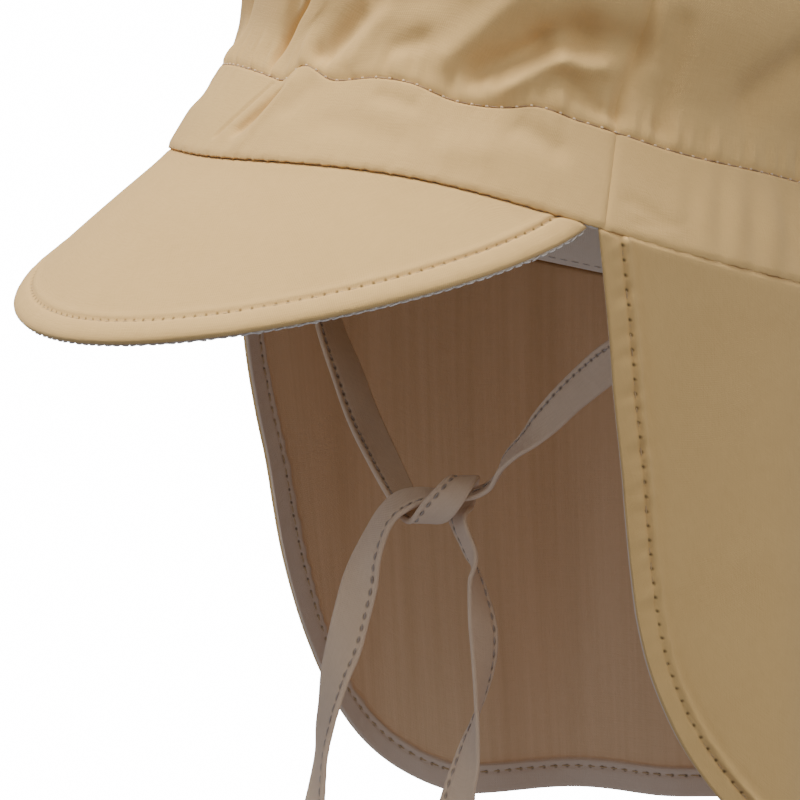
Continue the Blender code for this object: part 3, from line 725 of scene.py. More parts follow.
# %% Crown: tables
CROWN_PROFILE = (
    # way walked, reach, rise
    (0.000, 0.890, 0.000),
    (0.078, 0.866, 0.121),
    (0.120, 0.872, 0.185),
    (0.234, 0.897, 0.363),
    (0.335, 0.878, 0.522),
    (0.460, 0.795, 0.700),
    (0.592, 0.640, 0.850),
    (0.728, 0.440, 0.940),
    (0.865, 0.220, 0.985),
    (1.000, 0.000, 1.000),
)
TWIST_HALF_ANGLE = 66.0
CROWN_TWIST = (
    # way walked, degrees turned over the forehead
    (0.00, 0.0),
    (0.03, -1.0),
    (0.06, -0.9),
    (0.093, 0.9),
    (0.12, 3.2),
    (0.22, 4.4),
    (0.50, 1.5),
    (1.00, 0.0),
)
CROWN_FOLDS = (
    # angle, height, to_angle, to_height, half_width, depth, in shares of the crown's height
    (-2, 0.10, 2, 0.30, 0.026, 0.012),
    (-28, 0.14, -20, 0.34, 0.055, 0.026),
    (-41, 0.08, -34, 0.24, 0.045, -0.016),
    (-56, 0.16, -44, 0.26, 0.060, 0.034),
    (11, 0.04, 17, 0.17, 0.034, 0.019),
    (18, 0.05, 24, 0.24, 0.040, -0.008),
    (27, 0.09, 31, 0.12, 0.029, 0.009),
    (20, 0.25, 31, 0.29, 0.080, 0.030),
    (36.5, 0.10, 47, 0.30, 0.042, -0.017),
    (42.3, 0.085, 51.8, 0.18, 0.036, 0.021),
    (52, 0.19, 59, 0.215, 0.055, 0.024),
    (59, 0.215, 68, 0.23, 0.050, 0.020),
    (47, 0.03, 56, 0.13, 0.030, -0.016),
    (56, 0.13, 63, 0.155, 0.030, -0.016),
    (58, 0.095, 65, 0.035, 0.027, 0.014),
    (75, 0.05, 75, 0.32, 0.034, 0.011),
    (92, 0.18, 100, 0.30, 0.075, 0.028),
    (112, 0.06, 118, 0.30, 0.045, -0.014),
    (140, 0.16, 156, 0.30, 0.080, 0.028),
    (-92, 0.22, -104, 0.30, 0.080, 0.030),
    (-142, 0.16, -158, 0.26, 0.080, 0.028),
    (20, 0.62, 34, 0.80, 0.110, 0.024),
    (-52, 0.66, -70, 0.74, 0.120, 0.026),
    (98, 0.64, 114, 0.74, 0.120, 0.024),
    (-132, 0.62, -148, 0.72, 0.120, 0.024),
)
CROWN_SEAMS = (
    # name of the gore after the seam, angle, dip and half width of the seam's valley
    ("front_left", -0.9, 0.0019, 0.0010),
    ("side_left", SIDE_SEAM, 0.0010, 0.0016),
    ("back_left", REAR_SEAM, 0.0011, 0.0020),
    ("back_right", 180.0, 0.0011, 0.0020),
    ("side_right", 360 - REAR_SEAM, 0.0011, 0.0020),
    ("front_right", 360 - SIDE_SEAM, 0.0011, 0.0020),
)

# %% Crown: shape
SEAM_DIP = 0.0006
SEAM_DIP_WIDTH = 0.0045
FOLD_RELIEF = 1.35 * CROWN_HEIGHT
CROWN_THICKNESS = 0.0009
LOW_SEAM = (0.18, 0.35)
PLAIN_SHARE = 0.35
CROWN_ROWS = 104
CROWN_COLUMNS = 88
CROWN_PUCKER = 0.00055
CROWN_PUCKER_PITCH = 4.1


def crown_surface(angle, way):
    """Crown: the table's section carried round the ellipse, turned, and pushed square to itself.

    Near the front and side seams the push is dip * exp(-(distance / half width)^2).
    """
    turned = angle + smooth(CROWN_TWIST, way) * bell(wrapped(angle), TWIST_HALF_ANGLE)
    reach = smooth(CROWN_PROFILE, way, 1) + swell(angle) * np.clip(1 - way / 0.12, 0, 1)
    rise = CROWN_HEIGHT * smooth(CROWN_PROFILE, way, 2)
    foot = seam_rise(angle)
    place = ring(turned, reach, foot + rise * (BAND_HEIGHT + CROWN_HEIGHT - foot) / CROWN_HEIGHT)
    radius = reach * math.sqrt(HALF_LENGTH * HALF_WIDTH)
    dip = np.zeros(np.broadcast(angle, way).shape)
    for _, seam, deep, narrow in CROWN_SEAMS:
        away = np.radians(wrapped(angle - seam)) * radius
        low = 1 - (1 - PLAIN_SHARE) * ramp(way, *LOW_SEAM)
        dip = dip + SEAM_DIP * bell(away, SEAM_DIP_WIDTH) + deep * low * bell(away, narrow)
    dip = dip * ramp(way, 0, 0.04) * ramp(1 - way, 0, 0.25)
    folded = FOLD_RELIEF * grooves(CROWN_FOLDS, turned, way * CROWN_WALK, CROWN_HEIGHT)
    folded = folded * np.clip(way / 0.03, 0, 1)
    height = way * CROWN_WALK * CROWN_HEIGHT
    pucker = CROWN_PUCKER * wander(angle, CROWN_PUCKER_PITCH, 5.0) * bell(height - 0.003, 0.0035)
    step = 0.01
    run = (smooth(CROWN_PROFILE, way + step, 1) - smooth(CROWN_PROFILE, way - step, 1)) * radius
    climb = (smooth(CROWN_PROFILE, way + step, 2) - smooth(CROWN_PROFILE, way - step, 2)) * CROWN_HEIGHT
    run = run / np.maximum(reach, 0.05)
    size = np.hypot(run, climb)
    push = dip + folded + pucker
    x, y = outwards(turned)
    level = climb / size * push
    return place - leant(x * level, y * level, -run / size * push)


# %% Crown: six gores
def gore(name, start, end, node):
    """One gore from the band's seam to the top, with a seam allowance at both sides."""
    length = CROWN_WALK * CROWN_HEIGHT
    way = between(0, 0.9985, CROWN_ROWS, CROWN_THICKNESS / 2 / length)
    way = way[None] ** 1.12
    margin = np.degrees(SEAM_OVERLAP / 2 / (np.maximum(1 - way, 0.03) * HALF_WIDTH))
    width = math.radians(end - start) * HALF_WIDTH
    share = between(0, 1, CROWN_COLUMNS, CROWN_THICKNESS / 2 / width)[:, None]
    share = share + 0.055 * np.sin(2 * np.pi * share) / (2 * np.pi) * -2
    angle = start - margin + (end - start + 2 * margin) * share
    outer = crown_surface(angle, way + 0 * angle)
    height = walked(outer, 1)
    side = walked(outer, 0)
    to_seam = np.minimum(side, side[-1:] - side)
    relief = -0.0003 * (bell(height, 0.0008) + bell(to_seam, 0.0009))
    piece = cloth(name, outer, CROWN_THICKNESS, relief=relief)
    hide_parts(node)
    return piece


starts = [row[1] for row in CROWN_SEAMS]
gores = [
    gore("gore_" + row[0], row[1], end, "crown_panel_" + row[0])
    for row, end in zip(CROWN_SEAMS, starts[1:] + [360.0 + starts[0]])
]

# %% [markdown]
# ## Sweatband
# Inside the headband runs a strip of pale lining that lies on the head. A short length of it shows
# between the peak and the flap. It is a closed ring of thinner cloth that follows the cone of the
# band a little further in, clear of the band's deepest fold, with a line of stitches near its edge.

# %% Sweatband
SWEATBAND_HEIGHT = 0.0160
SWEATBAND_COLUMNS = 420
SWEATBAND_THICKNESS = 0.0008
SWEATBAND_STITCH_RISE = 0.0011
SWEATBAND_INSET = CLOTH + GAP
SWEATBAND_SLACK = 0.0013

turn = np.linspace(-180, 180, SWEATBAND_COLUMNS + 1)[:, None]
up = between(GAP / BAND_HEIGHT, SWEATBAND_HEIGHT / BAND_HEIGHT, 18, 0.025)[None] + 0 * turn
inset = SWEATBAND_INSET + SWEATBAND_SLACK * slack(up)
cone = band_cone(turn, up)
lining_face = cone - face_normals(cone, True) * inset[..., None]
rise = walked(lining_face, 1)
off = rise - SWEATBAND_STITCH_RISE
sweatband = cloth(
    "sweatband_lining", lining_face, SWEATBAND_THICKNESS, closed=True,
    relief=-0.0001 * bell(off, 0.0005), under=-0.00018 * bell(off, 0.0005),
)
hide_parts("sweatband")

# %% [markdown]
# ## Peak
# The peak is a crescent of two cloth layers over a thin stiff core. It leaves the rim steeply, then
# slopes evenly. Its outer edge is turned over the core and stitched 5 mm in, so the strip outside
# the stitches stands a little higher and the edge is round. The distance to the edge is measured on
# the surface itself, to the nearest point of the edge, because the strip keeps its width right to
# the ends of the crescent.

# %% Peak: shape
def peak_length(angle):
    """Length of the peak at an angle: L (1 - (angle / half angle)^2)^fullness."""
    share = 1 - (np.asarray(angle) / PEAK_HALF_ANGLE) ** 2
    return PEAK_LENGTH * np.clip(share, 0, 1) ** PEAK_FULLNESS


def peak_surface(angle, along):
    """Peak: from the root out and down by the sums of cos and sin of its droop on the way."""
    reached = along * peak_length(angle)
    gone = reached[..., None] * (np.arange(32) + 0.5) / 32
    droop = PEAK_SLOPE + PEAK_ROOT_DROOP * np.exp(-gone / PEAK_ROOT_LENGTH)
    droop = np.radians(droop + PEAK_TIP_DROOP * gone / PEAK_LENGTH)
    out = reached * np.cos(droop).mean(-1)
    down = reached * np.sin(droop).mean(-1)
    x, y = outwards(angle)
    root = ring(angle, 1 - 0.5 * CLOTH / HALF_WIDTH, root_rise(angle))
    return root + np.stack([x * out, y * out, -down], -1)


def nearest(points, line):
    """Place along a line and distance to it, for each point: the nearest of its corners, then the
    nearest place on the two pieces that meet there, by projection."""
    flat = points.reshape(-1, points.shape[-1])
    apart = (flat**2).sum(1)[:, None] + (line**2).sum(1)[None] - 2 * flat @ line.T
    corner = apart.argmin(1)
    far = walked(line[:, None], 0)[:, 0]
    best_far, best_away = np.zeros(len(flat)), np.full(len(flat), np.inf)
    for first in (corner - 1, corner):
        first = np.clip(first, 0, len(line) - 2)
        piece = line[first + 1] - line[first]
        share = np.clip(((flat - line[first]) * piece).sum(1) / (piece**2).sum(1), 0, 1)
        away = np.linalg.norm(flat - line[first] - piece * share[:, None], axis=1)
        place = far[first] + share * (far[first + 1] - far[first])
        best_far = np.where(away < best_away, place, best_far)
        best_away = np.minimum(away, best_away)
    return best_far.reshape(points.shape[:-1]), best_away.reshape(points.shape[:-1])


# %% Peak: upper layer
PEAK_REACH = PEAK_HALF_ANGLE - 0.12
PEAK_COLUMNS = 240
PEAK_ROWS = 72
PEAK_THICKNESS = 0.0013
PEAK_STITCH_INSET = 0.0051
PEAK_STITCH_PITCH = 0.00262
PEAK_GROOVE = 0.00040
PEAK_STRIP = 0.00045
PEAK_ROLL = 0.0006
PEAK_ROLL_WIDTH = 0.0016

turn = PEAK_REACH * np.sin(between(-1, 1, PEAK_COLUMNS) * np.pi / 2)[:, None]
along = (1 - between(0, 1, PEAK_ROWS, PEAK_THICKNESS / 2 / PEAK_LENGTH) ** 1.15)[None] + 0 * turn
turn = turn + 0 * along
peak_face = peak_surface(turn, along)
edge_turn = PEAK_REACH * np.sin(np.linspace(-1, 1, 500) * np.pi / 2)
peak_edge = peak_surface(edge_turn, np.ones(500))
gone, away = nearest(peak_face, peak_edge)
off = away - PEAK_STITCH_INSET
marks = np.stack([gone / PEAK_STITCH_PITCH, off / MM], -1)
strip = np.clip(away / PEAK_STITCH_INSET, 0, 1)
relief = PEAK_STRIP * np.sin(np.pi * strip) ** 0.6 - PEAK_GROOVE * bell(off, 0.00042)
relief = relief + 0.00022 * bell(off - 0.0011, 0.0009)
relief = relief + 0.00006 * wander(gone, 0.0085, 1.0) * bell(away - 0.003, 0.0022)
roll = np.clip(1 - away / PEAK_ROLL_WIDTH, 0, 1) ** 2 * PEAK_ROLL
peak_face = peak_face - np.stack([0 * roll, 0 * roll, roll], -1)
at_root = walked(peak_face, 1)[:, -1:] - walked(peak_face, 1)
relief = relief - 0.0003 * bell(at_root, 0.0008)
peak = cloth("peak_upper_layer", peak_face, PEAK_THICKNESS, relief=relief, stitch=marks)
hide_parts("peak_top")

# %% Peak: stitches
inside_line = off > 0
first = inside_line.argmax(1)
column_number = np.arange(len(first))
crossing = first > 0
first, column_number = first[crossing], column_number[crossing]
before, after = off[column_number, first - 1], off[column_number, first]
share = (-before / (after - before))[:, None]
peak_normal = face_normals(peak_face)
nearer, further = peak_face[column_number, first - 1], peak_face[column_number, first]
seam_line = nearer * (1 - share) + further * share
seam_normal = peak_normal[column_number, first]
seam_gone = gone[column_number, first]
shift = -seam_gone[0] % PEAK_STITCH_PITCH
seam_line = seam_line - seam_normal * PEAK_GROOVE * 0.9
row = stitch_row(seam_line, seam_normal, PEAK_STITCH_PITCH, 0.0009, shift)
peak_stitches = stitches("peak_stitches", *row, THREAD_RADIUS, 0.00006)

# %% [markdown]
# The underside is a layer of the pale lining. It is fastened all along the peak's edge by an overlock
# seam, whose loose greyish threads peep out below the turned edge.

# %% Peak: underside and its overlocked edge
UNDERSIDE_THICKNESS = 0.0009
UNDERSIDE_INSET = 0.0003
OVERLOCK_PITCH = 0.0023

length = peak_length(turn)
slope = np.radians(PEAK_SLOPE + PEAK_TIP_DROOP * along * length / PEAK_LENGTH)
slope = slope + np.radians(PEAK_ROOT_DROOP) * np.exp(-along * length / PEAK_ROOT_LENGTH)
x, y = outwards(turn)
below = np.stack([-x * np.sin(slope), -y * np.sin(slope), -np.cos(slope)], -1)
layer = peak_surface(turn, along * (1 - UNDERSIDE_INSET / np.maximum(length, 0.004)))
under_face = layer + below * (CLOTH + GAP)
ragged = 0.00018 * wander(gone, 0.0021, 1.5) * bell(away, 0.0015)
underside = cloth("peak_underside_layer", under_face, UNDERSIDE_THICKNESS, relief=ragged, under=ragged)
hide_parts("peak_underside")

edge = under_face[:, 0] + below[:, 0] * UNDERSIDE_THICKNESS * 0.55
outward = np.stack([outwards(turn[:, 0])[0], outwards(turn[:, 0])[1], 0 * turn[:, 0]], -1)
edge = edge + outward * 0.0003
edge_normal = unit(outward - np.array([0, 0, 0.35]))
row = stitch_row(edge, edge_normal, OVERLOCK_PITCH, 0.0003)
tilt = 0.00025 * wander(np.arange(len(row[0])), 2.7, 1.0)[:, None] * np.array([0, 0, 1.0])
overlock = stitches("peak_overlock_threads", row[0] + tilt, row[1] - tilt, row[2], 0.00020, 0.0001)

# %% [markdown]
# ## Neck flap
# One wide piece of the same cotton hangs from ear to ear. Its front edges, round corners and bottom
# are turned in and stitched, which makes a double hem of 6.6 mm. Hanging cloth falls straight down
# from the rim and swings in and out in folds that grow towards the hem. Cloth simulation would hang
# it too, but the photograph fixes the outline and the folds, so they are a table and an outline, and
# the cloth is a grid between them: each column runs from the rim down to a point of the outline.

# %% Neck flap: outline and hang
FLAP_FOLDS = (
    # angle, half angle, depth inwards as a share of FOLD_DEPTH
    (82, 6, 0.30),
    (98, 7, -0.45),
    (114, 8, 0.55),
    (131, 8, -0.75),
    (147, 8, 0.80),
    (163, 8, -0.70),
    (179, 8, 0.75),
    (-165, 8, -0.70),
    (-149, 8, 0.80),
    (-132, 8, -0.65),
    (-115, 8, 0.50),
    (-99, 7, -0.45),
    (-83, 6, 0.30),
)
FLAP_EDGE_LEAN = (
    # drop, left, right: how far the front edges stray back, as shares of the drop and corner width
    (0.00, 0.000, 0.000),
    (0.08, 0.020, 0.015),
    (0.26, 0.052, 0.045),
    (0.36, 0.048, 0.072),
    (0.44, 0.026, 0.090),
    (0.51, 0.000, 0.080),
    (0.58, -0.030, 0.061),
    (0.65, -0.052, 0.040),
    (0.72, -0.055, 0.018),
    (0.82, -0.040, 0.000),
    (0.92, -0.015, 0.000),
    (1.00, 0.000, 0.000),
)


def rim_walk(angle):
    """Distance along the rim from the nape to an angle: the sum of the ellipse's small steps."""
    fine = np.linspace(-180, 180, 1441)
    turn = np.radians(fine)
    pace = np.hypot(HALF_WIDTH * np.cos(turn), HALF_LENGTH * np.sin(turn)) * np.radians(0.25)
    gone = np.concatenate([[0], np.cumsum((pace[1:] + pace[:-1]) / 2)])
    return np.interp(angle, fine, gone)


def rim_angle(distance):
    """Angle at a distance along the rim, the inverse of rim_walk."""
    fine = np.linspace(-180, 180, 1441)
    return np.interp(distance, rim_walk(fine), fine)


def flap_outline(share, side):
    """Front edge, rounded corner and half of the bottom, for a share from 0 to 1.

    The corner is a quarter of a superellipse: level = cos^(2/p), fallen = sin^(2/p). Gives the
    distance moved back along the rim and the drop.
    """
    middle = rim_walk(180.0) - rim_walk(FLAP_FRONT_ANGLE)
    edge = np.clip(share / FLAP_EDGE_SHARE, 0, 1)
    corner = np.clip((share - FLAP_EDGE_SHARE) / (FLAP_CORNER_SHARE - FLAP_EDGE_SHARE), 0, 1)
    rest = np.clip((share - FLAP_CORNER_SHARE) / (1 - FLAP_CORNER_SHARE), 0, 1)
    level = np.cos(corner * np.pi / 2) ** (2 / FLAP_CORNER_POWER)
    fallen = np.sin(corner * np.pi / 2) ** (2 / FLAP_CORNER_POWER)
    back = FLAP_CORNER_WIDTH * (1 - level) + (middle - FLAP_CORNER_WIDTH) * rest
    angle = rim_angle(rim_walk(FLAP_FRONT_ANGLE) + back)
    bottom = FLAP_DROP + ring(angle, 1.0, root_rise(angle))[..., 2]
    drop = FLAP_CORNER_START * edge + (bottom - FLAP_CORNER_START) * fallen
    stray = smooth(FLAP_EDGE_LEAN, np.clip(drop / FLAP_DROP, 0, 1), 1 if side > 0 else 2)
    return np.stack([back + FLAP_CORNER_WIDTH * stray * (1 - rest), drop], -1)


def flap_place(flat, side):
    """Point of the hanging flap for a distance back and a drop: rim point - z drop - fold out."""
    angle = rim_angle(rim_walk(FLAP_FRONT_ANGLE) + flat[..., 0]) * side
    drop = flat[..., 1]
    fall = np.clip(drop / FLAP_DROP, 0, 1)
    fold = np.zeros(angle.shape)
    for middle, half_angle, depth in FLAP_FOLDS:
        fold = fold + depth * bell(wrapped(angle - middle), half_angle)
    fold = fold * FOLD_DEPTH * fall**0.8
    x, y = outwards(angle)
    return ring(angle, 1.0, root_rise(angle)) + np.stack([-x * fold, -y * fold, -drop], -1)


# %% Neck flap: grid
FLAP_THICKNESS = 0.0007
HEM_THICKNESS = 0.0015
FLAP_EDGE_COLUMNS = 22
FLAP_COLUMNS = 96
FLAP_HEM_ROWS = 24
FLAP_ROWS = 84
HEM_ZONE = 0.0100


def flap_half(side):
    """Flat places (back, drop) of one half of the flap, columns from the front edge to the nape."""
    zone = HEM_ZONE / (rim_walk(180.0) - rim_walk(FLAP_FRONT_ANGLE))
    near = (zone ** (1 / FLAP_COLUMN_CROWDING)) * np.concatenate(
        [RIM_PLACES * 0.07, np.linspace(0.07, 1, FLAP_EDGE_COLUMNS)]
    )
    half = np.concatenate([near, np.linspace(near[-1], 1, FLAP_COLUMNS)[1:]])
    rim = HEM_THICKNESS / 2 / FLAP_DROP
    low = np.concatenate([RIM_PLACES * rim, np.linspace(rim, HEM_ZONE / FLAP_DROP, FLAP_HEM_ROWS)])
    down = 1 - np.concatenate([low, np.linspace(low[-1], 1, FLAP_ROWS)[1:]])[None]
    middle = rim_walk(180.0) - rim_walk(FLAP_FRONT_ANGLE)
    ends = flap_outline(FLAP_COLUMN_START + (1 - FLAP_COLUMN_START) * half, side)
    back, drop = ends[:, :1], ends[:, 1:]
    edge = flap_outline(np.linspace(0, FLAP_CORNER_SHARE, 900), side)
    top = middle * half[:, None] ** FLAP_COLUMN_CROWDING
    straight = np.clip(half / 0.5, 0, 1)[:, None]
    fallen = drop * down
    followed = np.interp(fallen, edge[:, 1], edge[:, 0]) / np.interp(drop, edge[:, 1], edge[:, 0])
    across = top + (back - top) * (followed * (1 - straight) + down * straight)
    return np.stack([across, fallen], -1)


def hem_marks(flat, side):
    """Place along the outline and distance from it, for flat places."""
    line = flap_outline(np.linspace(0, 1, 900) ** 0.85, side)
    parts = [nearest(part, line) for part in np.array_split(flat, 12)]
    return [np.concatenate(arrays) for arrays in zip(*parts)]


FLAP_STITCH_INSET = 0.0049
FLAP_STITCH_PITCH = 0.0029
halves = [flap_half(1), flap_half(-1)]
flap_face = np.concatenate([flap_place(halves[0], 1), flap_place(halves[1], -1)[::-1][1:]])
hems = [hem_marks(halves[0], 1), hem_marks(halves[1], -1)]
gone, away = (np.concatenate([one, other[::-1][1:]]) for one, other in zip(*hems))
print("flap grid:", flap_face.shape[:2])

# %% [markdown]
# The hem shows on both faces. Outside, the stitches draw a groove 5 mm from the edge, and the turned
# part of the hem puffs up in a narrow ridge behind it. Inside, the hem ends in a step. Along the
# stitches the cloth puckers a little, in short slanting dents, because the thread is shorter than it.

# %% Neck flap: hem and cloth
HEM_GROOVE = 0.00055
HEM_RIDGE = 0.00075
PUCKER = 0.00022

off = away - FLAP_STITCH_INSET
slant = gone + 0.55 * away
puckers = PUCKER * wander(slant, 0.0062, 2.0) * bell(away - 0.0042, 0.0026)
puckers = puckers + 0.5 * PUCKER * wander(gone, 0.0035, 4.0) * bell(away - 0.0062, 0.0012)
outside = HEM_RIDGE * bell(away - 0.0059, 0.00075) - HEM_GROOVE * bell(off, 0.00042) + puckers
outside = outside - 0.00018 * bell(away - 0.0076, 0.0008)
within = -0.00025 * bell(off, 0.00045) - 0.7 * puckers
turned_in = ramp(HEM_WIDTH + 0.0002 - away, 0, 0.0004)
thickness = FLAP_THICKNESS + (HEM_THICKNESS - FLAP_THICKNESS) * turned_in
marks = np.stack([gone / FLAP_STITCH_PITCH, off / MM], -1)
# Share of the hem, where the inner face gets painted shade: less light comes through the double layer.
hem_painted_shade_share = ramp(HEM_WIDTH + 0.0003 - away, 0, 0.0005)
flap = cloth(
    "neck_flap_cloth", flap_face, thickness, relief=outside, under=within,
    stitch=marks, tone=hem_painted_shade_share,
)
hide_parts("neck_flap")

# %% Neck flap: stitches of the hem
def hem_line(side):
    """Line of stitches, the outline moved in square to itself: points, normals, where it begins."""
    line = flap_outline(np.linspace(0, 1, 1200) ** 0.85, side)
    ahead = unit(np.gradient(line, axis=0))
    inward = np.stack([ahead[:, 1], -ahead[:, 0]], -1)
    middle = rim_walk(180.0) - rim_walk(FLAP_FRONT_ANGLE)
    flat = line + inward * FLAP_STITCH_INSET
    kept = (flat[:, 1] > 0.0008) & (flat[:, 0] < middle)
    flat = flat[kept]
    shift = np.array([0.0004, 0.0])
    lift = np.array([0.0, 0.0004])
    level = flap_place(flat + shift, side) - flap_place(flat - shift, side)
    upright = flap_place(flat - lift, side) - flap_place(flat + lift, side)
    begun = walked(line[:, None], 0)[kept, 0][0]
    return flap_place(flat, side), unit(np.cross(level, upright)) * side, begun


rows = []
for side in (1, -1):
    points, normals, begun = hem_line(side)
    shift = -begun % FLAP_STITCH_PITCH
    outer_line = points - normals * HEM_GROOVE * 0.9
    inner_line = points - normals * (HEM_THICKNESS - 0.0002)
    rows.append(stitch_row(outer_line, normals, FLAP_STITCH_PITCH, 0.0009, shift))
    rows.append(stitch_row(inner_line, -normals, FLAP_STITCH_PITCH, 0.0009, shift))
hem_stitches = stitches(
    "hem_stitches", *[np.concatenate(parts) for parts in zip(*rows)], THREAD_RADIUS, 0.00006
)

# %% [markdown]
# ## The long stitches between band and crown
# The crown is set on the band by one row of long stitches in the seam itself. They sink into the
# groove, and only small knots show where the thread comes up, one every 3 mm. The thread in the
# groove is painted dark, as painted shade, and its knots are painted light, as a painted highlight.

# %% Seam stitches of band and crown
SEAM_STITCH_PITCH = 0.0030

turn = np.linspace(-180, 180, 1600)
line = band_surface(turn, 1.0 + 0 * turn)
higher = crown_surface(turn, 0.004 + 0 * turn)
upwards = unit(higher - band_surface(turn, 0.97 + 0 * turn))
normal = unit(np.cross(np.gradient(line, axis=0), upwards))
sunk = line - normal * 0.00042
row = stitch_row(sunk, normal, SEAM_STITCH_PITCH, 0.0006)
seam_stitches = stitches("crown_seam_stitches", *row, 0.00020, 0.00005)
half_pitch = SEAM_STITCH_PITCH / 2
row = stitch_row(line - normal * 0.00022, normal, SEAM_STITCH_PITCH, 0.0023, half_pitch)
seam_knots = stitches("crown_seam_knots", *row, 0.00024, 0.00005)

# %% Sweatband stitches
fine = np.linspace(-180, 180, 1600)
level = (GAP + SWEATBAND_STITCH_RISE) / BAND_HEIGHT + 0 * fine
normal = -face_normals(np.stack([band_cone(fine, level), band_cone(fine, level + 0.01)], 1))[:, 0]
depth = SWEATBAND_INSET + SWEATBAND_SLACK * slack(level) + SWEATBAND_THICKNESS - 0.00008
line = band_cone(fine, level) + normal * depth[:, None]
row = stitch_row(line, normal, 0.0026, 0.0007)
lining_stitches = stitches("sweatband_stitches", *row, 0.00015, 0.00004)

# %% [markdown]
# ## Finishes
# Shader maths is easier to read as sums than as a web of nodes, so one small class wraps a socket:
# adding or multiplying it adds the Math node, and node() adds any other node with its settings first.
# The cloth itself is a fine plain weave. Its threads are two crossing waves a fifth of a millimetre
# wide, on the weave map, and its uneven yarns are noise that is drawn out along each direction.

# %% Shader helper
class Wire:
    """A number or colour that flows through a material."""

    def __init__(self, tree, socket=None):
        self.tree = tree
        self.socket = socket

    def node(self, kind, settings=None, inputs=None, output=0):
        """New node of a kind: its settings, then the values or wires of its sockets."""
        made = self.tree.nodes.new(kind)
        for name, value in (settings or {}).items():
            if name == "stops":
                for stop, (where, colour) in zip(made.color_ramp.elements, value):
                    stop.position = where
                    stop.color = colour
            else:
                setattr(made, name, value)
        for name, value in (inputs or {}).items():
            if isinstance(value, Wire):
                self.tree.links.new(value.socket, made.inputs[name])
            else:
                made.inputs[name].default_value = value
        return Wire(self.tree, made.outputs[output])

    def maths(self, operation, *values):
        """Math node on the given values, or on this wire alone."""
        values = values or (self,)
        return self.node("ShaderNodeMath", {"operation": operation}, dict(enumerate(values)))

    def __add__(self, other):
        return self.maths("ADD", self, other)

    def __radd__(self, other):
        return self.maths("ADD", other, self)

    def __sub__(self, other):
        return self.maths("SUBTRACT", self, other)

    def __rsub__(self, other):
        return self.maths("SUBTRACT", other, self)

    def __mul__(self, other):
        return self.maths("MULTIPLY", self, other)

    def __rmul__(self, other):
        return self.maths("MULTIPLY", other, self)

    def __truediv__(self, other):
        return self.maths("DIVIDE", self, other)

    def __pow__(self, other):
        return self.maths("POWER", self, other)

    def clipped(self, start, end):
        """0 below start, 1 above end, even between."""
        return self.node(
            "ShaderNodeMapRange", None, {"Value": self, "From Min": start, "From Max": end}
        )

    def mixed(self, first, second):
        """Colour between two, by this factor."""
        return self.node(
            "ShaderNodeMix", {"data_type": "RGBA"}, {0: self, 6: first, 7: second}, output=2
        )


# %% Cloth finish
THREAD_PITCH = 0.00042
HOLE_CENTRE = 0.10
HOLE_RADIUS = 0.50


